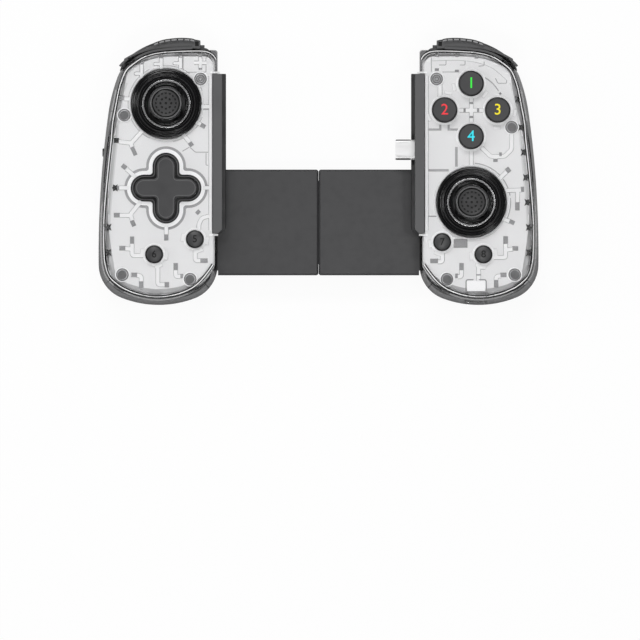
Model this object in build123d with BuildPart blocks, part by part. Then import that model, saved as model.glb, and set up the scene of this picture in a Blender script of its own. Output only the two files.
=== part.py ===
"""Telescopic game controller for a phone, lying on its back with its face up.

X runs across the face from the left grip to the right one, Y from the bottom of the grips to the
triggers, and Z out of the face. The origin is under the middle of the closed controller, at the
height of the grips' backs. Lengths are in millimetres.
"""
from build123d import *
from math import acos, cos, pi, radians, sin, sqrt, tan
import os

# Plan of a grip, seen from the front. "out" runs from the middle of the controller outwards
GRIP_INNER = 42.0
GRIP_OUTER = 91.5
GRIP_TOP = 50.7
GRIP_BOTTOM_CORNER = -39.0
GRIP_BOTTOM_IN = (GRIP_INNER + 9.5, -52.6)
GRIP_BOTTOM_OUT = (GRIP_OUTER - 9.3, -52.3)
GRIP_SIDE_LOW = -38.5
GRIP_SIDE_HIGH = (GRIP_OUTER - 4.1, 24.7)
GRIP_SHOULDER_LOW = (GRIP_OUTER - 7.9, 39.6)
GRIP_SHOULDER_HIGH = (GRIP_OUTER - 14.0, 46.5)
GRIP_TOP_FLAT_END = GRIP_INNER + 18.4
GRIP_MIDDLE = (GRIP_INNER + GRIP_OUTER) / 2
SHELL_CORNER_RADIUS = 1.2
COVER_CORNER_RADIUS = 5.0

# Heights of a grip
WIDEST_HEIGHT = 14.5
LEDGE_HEIGHT = 21.4
RIM_HEIGHT = LEDGE_HEIGHT + 2.2
LEDGE_WIDTH = 3.0
SHELL_WALL = 2.0
# Each row of the back is a height, then how far the outline is drawn in at the bottom and outer
# side, at the top and on the inner side there, and how far its top end drops
BACK_ROWS = [(0.0, 8.0, 6.0, 5.0, 21.0), (2.4, 3.4, 3.0, 2.0, 13.0), (7.4, 0.7, 0.6, 0.4, 4.0)]

# Front cover and the white panel under it
RIM_LOW = 3.5
RIM_TOP = 1.1
RIM_INNER = 0.7
RIM_EDGE = 0.5
COVER_HEIGHT = LEDGE_HEIGHT + 4.2
COVER_WALL = 1.2
COVER_SKIRT = 0.8
COVER_EDGE = 0.6
PANEL_HEIGHT = LEDGE_HEIGHT + 2.6
PANEL_FLANGE = 0.8
PANEL_MARGIN = 0.5
PANEL_DROP = 1.2
PANEL_SLOPE_LOW = 2.0
PANEL_SLOPE_TOP = 0.8
COLLAR_WIDTH = 0.9
COLLAR_RISE = 0.25
DPAD_COLLAR = 1.55
MOAT_WIDTH = 1.1
MOAT_DEPTH = 0.5
SEAT_GAP = 0.15
PIECE_GAP = 0.3

# Phone rail and its rubber pad
RAIL_FRONT = LEDGE_HEIGHT + 4.6
RAIL_BACK = LEDGE_HEIGHT - 8.5
RAIL_LENGTH = 66.1
RAIL_CENTRE = 7.45
RAIL_IN = GRIP_INNER - 2.1
RAIL_OUT = GRIP_INNER + 2.0
RAIL_LIP = 1.0
RAIL_WEB = 1.4
RAIL_CORNER = 1.7
PAD_IN = RAIL_IN - 1.4
PAD_LIP = 1.2
PAD_BACK = 1.3
PAD_NOTCH = 12.8

# Plug for the phone and the charging port
PLUG_WIDTH = 8.3
PLUG_THICK = 2.4
PLUG_WALL = 0.3
PLUG_DEPTH = 5.8
PLUG_TIP = PAD_IN - 6.6
PLUG_Y = 9.1
PLUG_BASE_WIDTH = 10.6
PLUG_BASE_THICK = 3.6
PLUG_BASE_LENGTH = 5.4
PORT_X = GRIP_MIDDLE - 1.35
PORT_WIDTH = 8.94
PORT_THICK = 3.16
PORT_WALL = 0.3
PORT_LENGTH = 7.3
PORT_FACE = -54.0
PORT_TONGUE = 0.7

# Bridge between the grips
BRIDGE_TOP = 1.0
BRIDGE_BOTTOM = -43.0
BRIDGE_BACK = 4.6
BRIDGE_FRONT = 12.6
BRIDGE_WALL = 1.4
BRIDGE_SIDE_WALL = 2.4
BRIDGE_EDGE_RADIUS = 1.4
BRIDGE_INSET = 2.0
BRIDGE_END = GRIP_INNER + 30.0
BRIDGE_END_WALL = 2.4
SEAM_GAP = 0.1
SEAM_CORNER = 1.0
TRAVEL = 46.0

# Slider, racks, pinion and springs inside the bridge
SLIDER_HALF = GRIP_INNER + 18.0
SLIDE_GAP = 0.2
SLIDER_FACE = 1.2
SLIDER_PLATE = 1.0
GEAR_MODULE = 0.6
PINION_TEETH = 18
PRESSURE_ANGLE = 20.0
TOOTH_BACKLASH = 0.16
TOOTH_ROOT = 0.15
GEAR_THICK = 2.0
PINION_BORE = 3.0
BEARING_GAP = 0.05
RACK_BODY = 2.6
RACK_REACH = TRAVEL + 6.0
RACK_TOOTHED = RACK_REACH + 3.0
GROOVE_GAP = 0.25
SPRING_OFFSET = 12.5
SPRING_DIAMETER = 2.0
SPRING_WIRE = 0.4
SPRING_START = 6.0

# Thumbsticks
STICK_LEFT = (GRIP_MIDDLE - 3.55, 28.1)
STICK_RIGHT = (GRIP_MIDDLE - 3.35, -12.8)
BOWL_DIAMETER = 29.2
BOWL_RIM = 0.6
BOWL_TOP = COVER_HEIGHT + 0.6
BOWL_FLOOR = BOWL_TOP - 3.3
BOWL_FLOOR_DIAMETER = 20.5
BOWL_FLOOR_THICK = 1.2
BOWL_BORE = 16.2
BOWL_STEPS = 3
BOWL_STEP = 0.25
BOWL_FOOT = 0.9
RING_OUTER = 20.3
RING_BORE = 18.2
RING_RISE = 0.8
PIVOT_HEIGHT = LEDGE_HEIGHT - 3.2
STICK_CLICK = 0.5
MODULE_SIDE = 15.4
MODULE_WALL = 1.0
MODULE_FLOOR = 0.6
MODULE_TOP = PIVOT_HEIGHT + 1.6
YOKE_SIDE = 10.8
YOKE_WIDTH = 1.4
GIMBAL_THICK = 2.0
GIMBAL_PIN = 1.4
PIN_END = 7.5
ROCKER_SIDE = 7.2
SHAFT_DIAMETER = 3.4
SHAFT_BELOW = 2.3
SHAFT_TOP = PIVOT_HEIGHT + 11.8
COLLAR_DIAMETER = 5.2
COLLAR_THICK = 1.0
DOME_RADIUS = 8.4
DOME_WALL = 1.2
DOME_EDGE_ANGLE = 36.0
CAP_DIAMETER = 14.2
CAP_TOP = PIVOT_HEIGHT + 17.2
CAP_THICK = 2.6
CAP_DISC = 11.4
CAP_RIM = 0.5
CAP_DISH = 0.8
CAP_NECK = 7.2

# Buttons
FACE_CENTRE = (GRIP_MIDDLE - 3.45, 25.5)
FACE_SPACING = 11.0
FACE_DIAMETER = 10.3
FACE_TOP = COVER_HEIGHT + 2.2
FACE_EDGE = 0.6
FLANGE_WIDTH = 0.7
FLANGE_THICK = 1.0
BUTTON_GAP = 0.2
MENU_DIAMETER = 7.2
MENU_TOP = COVER_HEIGHT + 1.2
MENU_CROWN = 0.7
MENU_INNER_LEFT = (GRIP_MIDDLE - 15.45, -28.1)
MENU_OUTER_LEFT = (GRIP_MIDDLE + 1.45, -34.4)
MENU_INNER_RIGHT = (GRIP_MIDDLE - 15.45, -29.3)
MENU_OUTER_RIGHT = (GRIP_MIDDLE + 1.65, -34.4)
MEMBRANE_SHEET = 0.6
MEMBRANE_RIM = 1.2
FACE_DOME = 5.6
DOME_TOP_SHARE = 0.55

# Direction pad
DPAD_CENTRE = (GRIP_MIDDLE - 3.45, -6.9)
DPAD_SPAN = 25.8
DPAD_ARM = 7.6
DPAD_RECESS = 1.8
DPAD_CORNER = 1.2
DPAD_TOP = COVER_HEIGHT + 2.4
DPAD_EDGE = 0.5
DPAD_FLANGE = 0.8
DPAD_FLANGE_TOP = LEDGE_HEIGHT - 1.5
DPAD_PIVOT = DPAD_FLANGE_TOP - 2.5
DPAD_BALL = 3.4
DPAD_BOSS = 6.6
DPAD_DOME_OFFSET = 8.6

# Bumper and trigger
SHOULDER_START = GRIP_INNER + 7.2
SHOULDER_END = GRIP_OUTER - 10.7
BUMPER_TOP_INNER = (SHOULDER_START, 54.2)
BUMPER_TOP_MIDDLE = ((SHOULDER_START + SHOULDER_END) / 2, 53.2)
BUMPER_TOP_OUTER = (SHOULDER_END, 46.8)
BUMPER_CORNER = 1.4
BUMPER_FRONT = RIM_HEIGHT - 1.2
BUMPER_BACK = WIDEST_HEIGHT - 1.0
BUMPER_EDGE = 0.5
BUMPER_LIFT = 0.35
BUMPER_ANGLE = 1.5
BUMPER_PIVOT = (SHOULDER_START - 1.8, 49.0)
BUMPER_PIN = 2.0
BUMPER_EAR = 2.4
BUMPER_EAR_THICK = 3.0
BUMPER_NUB = 1.2
BUMPER_EAR_BACK = 16.0
TRIGGER_FRONT = BUMPER_BACK - 0.6
TRIGGER_TOP_INNER = (SHOULDER_START, 54.7)
TRIGGER_TOP_MIDDLE = (SHOULDER_START + (SHOULDER_END - SHOULDER_START) * 0.42, 55.2)
TRIGGER_TOP_OUTER = (SHOULDER_END - 1.3, 47.4)
TRIGGER_OUTER = (SHOULDER_END + 1.9, 42.2)
# Heights down the trigger, and how far its finger face is drawn in there
TRIGGER_ROWS = [(TRIGGER_FRONT, 0.0), (8.6, 0.3), (4.2, 1.9), (1.2, 4.6)]
TRIGGER_WALL = 1.8
TRIGGER_PIVOT_Y = 44.2
TRIGGER_PIVOT_Z = 10.4
TRIGGER_PIN = 1.6
TRIGGER_ANGLE = 18.0
TRIGGER_RIB = 2.6
TRIGGER_LUG_AT = SHOULDER_END - 6.8
TRIGGER_LUG = 2.0
POCKET_FLOOR = 41.6
POCKET_WALL = 1.8
PIN_SEAT = 2.2

# Slide switch on the outer side of the left grip
SWITCH_Y = 8.1
SWITCH_Z = 10.6
SWITCH_LENGTH = 3.4
SWITCH_HEIGHT = 2.4
SWITCH_TRAVEL = 1.5
SWITCH_OUT = GRIP_OUTER - 1.5
SWITCH_DEPTH = 4.0
SWITCH_PLATE = 1.0

# Boards, posts and screws
BOARD_BACK = LEDGE_HEIGHT - 8.5
BOARD_THICK = 1.2
BOARD_INSET = 4.6
POST_DIAMETER = 5.0
POST_BORE = 1.7
POST_END = 10.0
BOSS_DIAMETER = 6.4
SCREW_SEAT = 6.2
SCREW_HEAD = 3.6
SCREW_HEAD_THICK = 1.5
SCREW_SHANK = 1.6
SCREW_LENGTH = 8.0
SCREW_RECESS = 4.0
SCREW_CLEARANCE = 2.0
POST_INNER = [(GRIP_INNER + 7.0, 38.4), (GRIP_INNER + 11.3, -44.7)]
POSTS_LEFT = [*POST_INNER, (GRIP_OUTER - 10.9, 23.4), (GRIP_OUTER - 10.1, -42.8)]
POSTS_RIGHT = [*POST_INNER, (GRIP_OUTER - 11.4, 18.4), (GRIP_OUTER - 10.1, -42.8)]

# Sizes that follow from the ones above
BRIDGE_CENTRE = (BRIDGE_TOP + BRIDGE_BOTTOM) / 2
BRIDGE_WIDTH = BRIDGE_TOP - BRIDGE_BOTTOM
TONGUE_WIDTH = BRIDGE_WIDTH - 2 * BRIDGE_INSET
CHANNEL_WIDTH = TONGUE_WIDTH - 2 * BRIDGE_SIDE_WALL
CHANNEL_BACK = BRIDGE_BACK + BRIDGE_WALL
CHANNEL_FRONT = BRIDGE_FRONT - BRIDGE_WALL
CHANNEL_END = BRIDGE_END - BRIDGE_END_WALL
SLIDER_WIDTH = CHANNEL_WIDTH - 2 * SLIDE_GAP
SLIDER_FRONT = CHANNEL_FRONT - SLIDE_GAP
SLIDER_BACK = CHANNEL_BACK + SLIDE_GAP
GROOVE_FRONT = SLIDER_FRONT - SLIDER_FACE
GROOVE_BACK = SLIDER_BACK + SLIDER_PLATE
GEAR_MIDDLE = (GROOVE_FRONT + GROOVE_BACK) / 2
PITCH_RADIUS = GEAR_MODULE * PINION_TEETH / 2
TOOTH_PITCH = pi * GEAR_MODULE
RACK_BACK = PITCH_RADIUS + GEAR_MODULE + TOOTH_ROOT + RACK_BODY
BOARD_TOP = BOARD_BACK + BOARD_THICK
PLUG_Z = (RAIL_FRONT + RAIL_BACK) / 2
PORT_Z = BOARD_TOP + PORT_THICK / 2 + SEAT_GAP
COVER_UNDER = COVER_HEIGHT - COVER_WALL
FLANGE_TOP = LEDGE_HEIGHT - SEAT_GAP
FLANGE_BOTTOM = FLANGE_TOP - FLANGE_THICK
MEMBRANE_TOP = BOARD_TOP + MEMBRANE_SHEET


def moved(point, normal, amount):
    """The point drawn in by an amount against its outward direction."""
    return (point[0] - normal[0] * amount, point[1] - normal[1] * amount)


def grip_outline(low=0.0, top=0.0, inner=0.0, drop=0.0, corner=SHELL_CORNER_RADIUS):
    """Face of a grip seen from the front, drawn in by low, top and inner at its three sides."""
    middle = (low + top) / 2
    inner_low = (GRIP_INNER + inner, GRIP_BOTTOM_CORNER)
    inner_top = (GRIP_INNER + inner, GRIP_TOP - top - drop)
    top_end = (GRIP_TOP_FLAT_END, GRIP_TOP - top - drop)
    bottom_in = moved(GRIP_BOTTOM_IN, (-0.36, -0.93), low)
    bottom_out = moved(GRIP_BOTTOM_OUT, (0.375, -0.927), low)
    side_low = (GRIP_OUTER - low, GRIP_SIDE_LOW)
    side_high = moved(GRIP_SIDE_HIGH, (0.99, 0.139), middle)
    side_high = (side_high[0], side_high[1] - drop)
    shoulder_low = moved(GRIP_SHOULDER_LOW, (0.936, 0.352), (middle + top) / 2)
    shoulder_low = (shoulder_low[0], shoulder_low[1] - drop)
    shoulder_high = moved(GRIP_SHOULDER_HIGH, (0.463, 0.886), top)
    shoulder_high = (shoulder_high[0], shoulder_high[1] - drop)
    with BuildSketch() as outline:
        with BuildLine():
            Line(inner_low, inner_top)
            Line(inner_top, top_end)
            shoulder = TangentArc(top_end, shoulder_high, tangent=(1, 0))
            turn = TangentArc(shoulder_high, shoulder_low, tangent=shoulder % 1)
            upper = TangentArc(shoulder_low, side_high, tangent=turn % 1)
            side = TangentArc(side_high, side_low, tangent=upper % 1)
            outer_corner = TangentArc(side_low, bottom_out, tangent=(0, -1))
            bottom = TangentArc(bottom_out, bottom_in, tangent=outer_corner % 1)
            TangentArc(bottom_in, inner_low, tangent=bottom % 1)
        make_face()
        fillet(outline.vertices().group_by(Axis.Y)[-1].sort_by(Axis.X)[0], corner)
    return outline.sketch


def on_side(side, piece):
    """The piece as made for the right grip, or its mirror image for the left one."""
    with BuildPart() as placed:
        add(piece.part)
        if side == "left":
            mirror(about=Plane.YZ, mode=Mode.REPLACE)
    return placed


def half_turn(piece):
    """The piece turned half round the pinion, from the right grip's side to the left one's."""
    with BuildPart() as turned:
        add(piece.part.rotate(Axis((0, BRIDGE_CENTRE, 0), (0, 0, 1)), 180))
    return turned


def keep(piece, name):
    piece.part.label = name
    export_step(piece.part, f"parts/{name}.step")


def block(low, high):
    """Box between two opposite corners."""
    with BuildPart() as box:
        with Locations(tuple((a + b) / 2 for a, b in zip(low, high))):
            Box(*[b - a for a, b in zip(low, high)])
    return box.part


def rail_room():
    """Space that a rail takes out of its grip."""
    low = RAIL_CENTRE - RAIL_LENGTH / 2 - SEAT_GAP
    high = RAIL_CENTRE + RAIL_LENGTH / 2 + SEAT_GAP
    return block((PAD_IN, low, RAIL_BACK - SEAT_GAP), (RAIL_OUT + SEAT_GAP, high, RAIL_FRONT + 1))


def trigger_room(wall=0.0):
    """Space at the top of a grip in which the trigger swings, or with its walls round it."""
    low = (SHOULDER_START - PIECE_GAP - wall, POCKET_FLOOR - wall, -1)
    return block(low, (GRIP_OUTER + 1, GRIP_TOP + 1, TRIGGER_FRONT + PIECE_GAP + wall))


def bumper_block(gap=0.0):
    """Corner of a grip that carries the bumper's pin, or the room for the bumper's ear in it."""
    reach = BUMPER_EAR + PIECE_GAP
    x, y = BUMPER_PIVOT
    low = (x - reach - gap, y - reach - gap, BUMPER_EAR_BACK - SEAT_GAP - gap)
    high = (x + reach + 1.5, GRIP_TOP + 1, BUMPER_EAR_BACK + BUMPER_EAR_THICK + SEAT_GAP + gap)
    return block(low, high)


def grip_back(inset=0.0):
    """Rounded back of a grip up to its widest height, drawn in by an inset all round."""
    with BuildPart() as back:
        for height, low, top, inner, drop in BACK_ROWS:
            with BuildSketch(Plane.XY.offset(height + inset)):
                add(grip_outline(low + inset, top + inset, inner + inset, drop))
        with BuildSketch(Plane.XY.offset(WIDEST_HEIGHT)):
            add(grip_outline(inset, inset, inset))
        loft()
    return back.part


def upright(points, diameter, low, high):
    """Round pillars or holes at points of the front view, between two heights."""
    with BuildPart() as pillars:
        with BuildSketch(Plane.XY.offset(low)):
            with Locations(*points):
                Circle(diameter / 2)
        extrude(amount=high - low)
    return pillars.part


def grip_room(posts):
    """Hollow of a rear shell, round its screw bosses and the trigger's pocket."""
    with BuildPart() as room:
        add(grip_back(SHELL_WALL))
        with BuildSketch(Plane.XY.offset(WIDEST_HEIGHT)):
            add(grip_outline(SHELL_WALL, SHELL_WALL, SHELL_WALL))
        with BuildSketch(Plane.XY.offset(LEDGE_HEIGHT)):
            add(grip_outline(RIM_LOW + LEDGE_WIDTH, RIM_TOP + LEDGE_WIDTH, RIM_INNER + LEDGE_WIDTH))
        loft()
        add(upright(posts, BOSS_DIAMETER, 0, POST_END), mode=Mode.SUBTRACT)
        add(trigger_room(POCKET_WALL), mode=Mode.SUBTRACT)
        add(bumper_block(POCKET_WALL), mode=Mode.SUBTRACT)
    return room.part


def build_rear_shell(side):
    left = side == "left"
    posts = POSTS_LEFT if left else POSTS_RIGHT
    with BuildPart() as shell:
        add(grip_back())
        with BuildSketch(Plane.XY.offset(WIDEST_HEIGHT)):
            add(grip_outline())
        with BuildSketch(Plane.XY.offset(RIM_HEIGHT)):
            add(grip_outline(RIM_LOW - RIM_EDGE, RIM_TOP - RIM_EDGE, RIM_INNER - RIM_EDGE))
        loft()
        # room for what the shell holds, and the opening that the front cover closes
        add(grip_room(posts), mode=Mode.SUBTRACT)
        with BuildSketch(Plane.XY.offset(LEDGE_HEIGHT)):
            add(grip_outline(RIM_LOW, RIM_TOP, RIM_INNER, corner=COVER_CORNER_RADIUS))
        extrude(amount=RIM_HEIGHT, mode=Mode.SUBTRACT)
        add(rail_room(), mode=Mode.SUBTRACT)
        add(trigger_room(), mode=Mode.SUBTRACT)
        add(bumper_block(), mode=Mode.SUBTRACT)
        add(tongue(SEAT_GAP), mode=Mode.SUBTRACT)
        # pins of the bumper and the trigger
        x, y = BUMPER_PIVOT
        ear_front = BUMPER_EAR_BACK + BUMPER_EAR_THICK + SEAT_GAP
        add(upright([(x, y)], BUMPER_PIN, BUMPER_EAR_BACK - SEAT_GAP, ear_front))
        add(trigger_lug())
        add(trigger_bore(), mode=Mode.SUBTRACT)
        # screws from the back, and the cover's posts that they hold
        add(upright(posts, SCREW_RECESS, -1, SCREW_SEAT), mode=Mode.SUBTRACT)
        add(upright(posts, SCREW_CLEARANCE, SCREW_SEAT, POST_END), mode=Mode.SUBTRACT)
        post_room = POST_DIAMETER + 2 * SEAT_GAP
        add(upright(posts, post_room, POST_END, LEDGE_HEIGHT), mode=Mode.SUBTRACT)
        if left:
            add(switch_slot(), mode=Mode.SUBTRACT)
        else:
            add(port_slot(), mode=Mode.SUBTRACT)
            add(plug_base(SEAT_GAP), mode=Mode.SUBTRACT)
    return shell


def trigger_lug():
    """Lug of the rear shell that holds the outer end of the trigger's pin."""
    low = (TRIGGER_LUG_AT, POCKET_FLOOR - POCKET_WALL, TRIGGER_PIVOT_Z - TRIGGER_LUG)
    high = (TRIGGER_LUG_AT + TRIGGER_LUG, TRIGGER_PIVOT_Y + TRIGGER_LUG, TRIGGER_FRONT + 1)
    return block(low, high)


def trigger_bore():
    """Seats of the trigger's pin in the rear shell."""
    with BuildPart() as bore:
        with BuildSketch(Plane.YZ.offset(SHOULDER_START - PIECE_GAP - PIN_SEAT)):
            with Locations((TRIGGER_PIVOT_Y, TRIGGER_PIVOT_Z)):
                Circle(TRIGGER_PIN / 2)
        extrude(amount=TRIGGER_LUG_AT + TRIGGER_LUG - SHOULDER_START + PIECE_GAP + PIN_SEAT)
    return bore.part


def switch_slot():
    """Slot of the slide switch in the outer wall of the left grip."""
    half = SWITCH_LENGTH / 2 + SWITCH_TRAVEL + SEAT_GAP
    rise = SWITCH_HEIGHT / 2 + SEAT_GAP
    low = (SWITCH_OUT - SWITCH_DEPTH, SWITCH_Y - half, SWITCH_Z - rise)
    return block(low, (GRIP_OUTER + 1, SWITCH_Y + half, SWITCH_Z + rise))


def flat_slot(centre, width, thick, plane, depth):
    """Bar with fully rounded sides, sunk from a plane."""
    with BuildPart() as bar:
        with BuildSketch(plane):
            with Locations(centre):
                SlotOverall(width, thick)
        extrude(amount=depth)
    return bar.part


def port_slot():
    """Opening of the charging port in the bottom wall of the right grip."""
    width = PORT_WIDTH + 2 * PIECE_GAP
    thick = PORT_THICK + 2 * PIECE_GAP
    return flat_slot((PORT_X, PORT_Z), width, thick, Plane.XZ.offset(-GRIP_SIDE_LOW), 20)


def plug_base(gap=0.0):
    """Moulded base of the plug behind the rail, or the room for it."""
    half = PLUG_BASE_WIDTH / 2 + gap
    rise = PLUG_BASE_THICK / 2 + gap
    start = RAIL_OUT + SEAT_GAP
    low = (start, PLUG_Y - half, PLUG_Z - rise)
    return block(low, (start + PLUG_BASE_LENGTH + gap, PLUG_Y + half, PLUG_Z + rise))


def tongue(gap=0.0):
    """End of a bridge cover inside its grip, or the window for it in the shell's inner wall."""
    half = TONGUE_WIDTH / 2 + gap
    low = (GRIP_INNER - 1, BRIDGE_CENTRE - half, BRIDGE_BACK - gap)
    return block(low, (BRIDGE_END + gap, BRIDGE_CENTRE + half, BRIDGE_FRONT + gap))


def control_holes(side, gap):
    """Sketch of the openings for sticks, buttons and direction pad in a cover or panel."""
    with BuildSketch() as holes:
        if side == "left":
            with Locations(STICK_LEFT):
                Circle(BOWL_DIAMETER / 2 + gap)
            with Locations(MENU_INNER_LEFT, MENU_OUTER_LEFT):
                Circle(MENU_DIAMETER / 2 + BUTTON_GAP)
            add(cross(DPAD_RECESS))
        else:
            with Locations(STICK_RIGHT):
                Circle(BOWL_DIAMETER / 2 + gap)
            with Locations(MENU_INNER_RIGHT, MENU_OUTER_RIGHT):
                Circle(MENU_DIAMETER / 2 + BUTTON_GAP)
            with Locations(*FACE_PLACES):
                Circle(FACE_DIAMETER / 2 + BUTTON_GAP)
    return holes.sketch


def collars(side):
    """Sketch of the raised collars round the buttons and the direction pad, without their holes."""
    menu = MENU_DIAMETER / 2 + BUTTON_GAP + COLLAR_WIDTH
    with BuildSketch() as rings:
        if side == "left":
            with Locations(MENU_INNER_LEFT, MENU_OUTER_LEFT):
                Circle(menu)
            add(cross(DPAD_RECESS + DPAD_COLLAR))
        else:
            with Locations(MENU_INNER_RIGHT, MENU_OUTER_RIGHT):
                Circle(menu)
            with Locations(*FACE_PLACES):
                Circle(FACE_DIAMETER / 2 + BUTTON_GAP + COLLAR_WIDTH)
    return rings.sketch


def cross(grow=0.0):
    """Cross of the direction pad, with round arm ends and soft inner corners."""
    with BuildSketch() as shape:
        with Locations(DPAD_CENTRE):
            SlotOverall(DPAD_SPAN + 2 * grow, DPAD_ARM + 2 * grow)
            SlotOverall(DPAD_SPAN + 2 * grow, DPAD_ARM + 2 * grow, rotation=90)
        inner = shape.vertices().sort_by_distance((DPAD_CENTRE[0], DPAD_CENTRE[1], 0))[:4]
        # the corner fits the straight side left between two round arm ends
        straight = DPAD_SPAN / 2 - DPAD_ARM - grow
        fillet(inner, DPAD_CORNER if straight < 0 else min(DPAD_CORNER, straight * 0.8))
    return shape.sketch


def build_inner_panel(side):
    posts = POSTS_LEFT if side == "left" else POSTS_RIGHT
    under = COVER_SKIRT + 2 * SEAT_GAP
    low, top, inner = RIM_LOW + under, RIM_TOP + under, RIM_INNER + under
    corner = COVER_CORNER_RADIUS - under
    margin = PANEL_MARGIN
    with BuildPart() as panel:
        # flange on the ledge, under the cover's skirt
        with BuildSketch(Plane.XY.offset(LEDGE_HEIGHT)):
            flange_corner = COVER_CORNER_RADIUS - margin
            flange = (RIM_LOW + margin, RIM_TOP + margin, RIM_INNER + margin)
            add(grip_outline(*flange, corner=flange_corner))
        extrude(amount=PANEL_FLANGE)
        with BuildSketch(Plane.XY.offset(LEDGE_HEIGHT)):
            add(grip_outline(low, top, inner, corner=corner))
        extrude(amount=PANEL_HEIGHT - PANEL_DROP - LEDGE_HEIGHT)
        with BuildSketch(Plane.XY.offset(PANEL_HEIGHT - PANEL_DROP)):
            add(grip_outline(low, top, inner, corner=corner))
        with BuildSketch(Plane.XY.offset(PANEL_HEIGHT)):
            slope_low, slope_top = low + PANEL_SLOPE_LOW, top + PANEL_SLOPE_TOP
            add(grip_outline(slope_low, slope_top, inner, corner=corner))
        loft()
        # raised collars round the openings, and the groove round the direction pad's collar
        with BuildSketch(Plane.XY.offset(PANEL_HEIGHT)):
            add(collars(side))
            with Locations(*posts):
                Circle(POST_DIAMETER / 2 + SEAT_GAP + COLLAR_WIDTH / 2)
        extrude(amount=COLLAR_RISE)
        if side == "left":
            with BuildSketch(Plane.XY.offset(PANEL_HEIGHT - MOAT_DEPTH)):
                add(cross(DPAD_RECESS + DPAD_COLLAR + MOAT_WIDTH))
                add(cross(DPAD_RECESS + DPAD_COLLAR), mode=Mode.SUBTRACT)
            extrude(amount=MOAT_DEPTH + COLLAR_RISE, mode=Mode.SUBTRACT)
        with BuildSketch(Plane.XY.offset(LEDGE_HEIGHT)):
            add(control_holes(side, SEAT_GAP))
            with Locations(*posts):
                Circle(POST_DIAMETER / 2 + SEAT_GAP)
        extrude(amount=PANEL_HEIGHT, mode=Mode.SUBTRACT)
        add(rail_room(), mode=Mode.SUBTRACT)
    return on_side(side, panel)


def build_front_cover(side):
    posts = POSTS_LEFT if side == "left" else POSTS_RIGHT
    low, top, inner = RIM_LOW + SEAT_GAP, RIM_TOP + SEAT_GAP, RIM_INNER + SEAT_GAP
    corner = COVER_CORNER_RADIUS
    wall = COVER_SKIRT
    foot = LEDGE_HEIGHT + PANEL_FLANGE
    with BuildPart() as cover:
        with BuildSketch(Plane.XY.offset(foot)):
            add(grip_outline(low, top, inner, corner=corner))
        extrude(amount=COVER_HEIGHT - COVER_EDGE - foot)
        with BuildSketch(Plane.XY.offset(COVER_HEIGHT - COVER_EDGE)):
            add(grip_outline(low, top, inner, corner=corner))
        with BuildSketch(Plane.XY.offset(COVER_HEIGHT)):
            edge = COVER_EDGE
            add(grip_outline(low + edge, top + edge, inner + edge, corner=corner - edge))
        loft()
        with BuildSketch(Plane.XY.offset(foot)):
            add(grip_outline(low + wall, top + wall, inner + wall, corner=corner - wall))
        extrude(amount=COVER_UNDER - foot, mode=Mode.SUBTRACT)
        add(upright(posts, POST_DIAMETER, POST_END, COVER_HEIGHT - COVER_WALL / 2))
        with BuildSketch(Plane.XY.offset(LEDGE_HEIGHT)):
            add(control_holes(side, SEAT_GAP))
        extrude(amount=COVER_HEIGHT, mode=Mode.SUBTRACT)
        thread = POST_END + SCREW_LENGTH - (POST_END - SCREW_SEAT) + PIECE_GAP
        add(upright(posts, POST_BORE, POST_END - 1, thread), mode=Mode.SUBTRACT)
        add(rail_room(), mode=Mode.SUBTRACT)
    return on_side(side, cover)


def rail_corner(face):
    """Wedge cut off the lower end of a rail or pad, on the side of the phone."""
    end = RAIL_CENTRE - RAIL_LENGTH / 2
    with BuildPart() as wedge:
        with BuildSketch(Plane.XY.offset(RAIL_BACK - 1)):
            with BuildLine():
                corner = (face - 1, end - 1)
                reach = RAIL_CORNER + 1
                Polyline(corner, (face + reach, end - 1), (face - 1, end + reach), corner)
            make_face()
        extrude(amount=RAIL_FRONT - RAIL_BACK + 2)
    return wedge.part


def build_rail(side):
    half = RAIL_LENGTH / 2
    middle = Plane.XZ.offset(-RAIL_CENTRE)
    with BuildPart() as rail:
        with BuildSketch(middle):
            with Locations(((RAIL_IN + RAIL_OUT) / 2, PLUG_Z)):
                Rectangle(RAIL_OUT - RAIL_IN, RAIL_FRONT - RAIL_BACK)
            with Locations(((RAIL_IN + RAIL_OUT - RAIL_WEB) / 2, PLUG_Z)):
                width = RAIL_OUT - RAIL_WEB - RAIL_IN
                Rectangle(width, RAIL_FRONT - RAIL_BACK - 2 * RAIL_LIP, mode=Mode.SUBTRACT)
        extrude(amount=half, both=True)
        chamfer(rail.faces().sort_by(Axis.Z)[-1].edges().filter_by(Axis.Y), RAIL_LIP / 4)
        add(rail_corner(RAIL_IN), mode=Mode.SUBTRACT)
        if side == "right":
            add(plug_shell(PIECE_GAP), mode=Mode.SUBTRACT)
    return on_side(side, rail)


def build_rail_pad(side):
    back = RAIL_OUT - RAIL_WEB
    thick = RAIL_FRONT - RAIL_BACK - 2 * RAIL_LIP
    mouth = thick - 2 * PAD_LIP
    middle = Plane.XZ.offset(-RAIL_CENTRE)
    with BuildPart() as pad:
        with BuildSketch(middle) as section:
            with Locations(((PAD_IN + back) / 2, PLUG_Z)):
                Rectangle(back - PAD_IN, thick)
            with Locations(((PAD_IN + back - PAD_BACK) / 2, PLUG_Z)):
                Rectangle(back - PAD_BACK - PAD_IN, mouth, mode=Mode.SUBTRACT)
            fillet(section.vertices().group_by(Axis.X)[0], PAD_LIP / 4)
        extrude(amount=RAIL_LENGTH / 2, both=True)
        add(rail_corner(PAD_IN), mode=Mode.SUBTRACT)
        if side == "right":
            add(plug_shell(PIECE_GAP), mode=Mode.SUBTRACT)
            notch = PAD_NOTCH / 2
            low = (PAD_IN - 1, PLUG_Y - notch, PLUG_Z)
            add(block(low, (RAIL_IN, PLUG_Y + notch, RAIL_FRONT)), mode=Mode.SUBTRACT)
    return on_side(side, pad)


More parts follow.
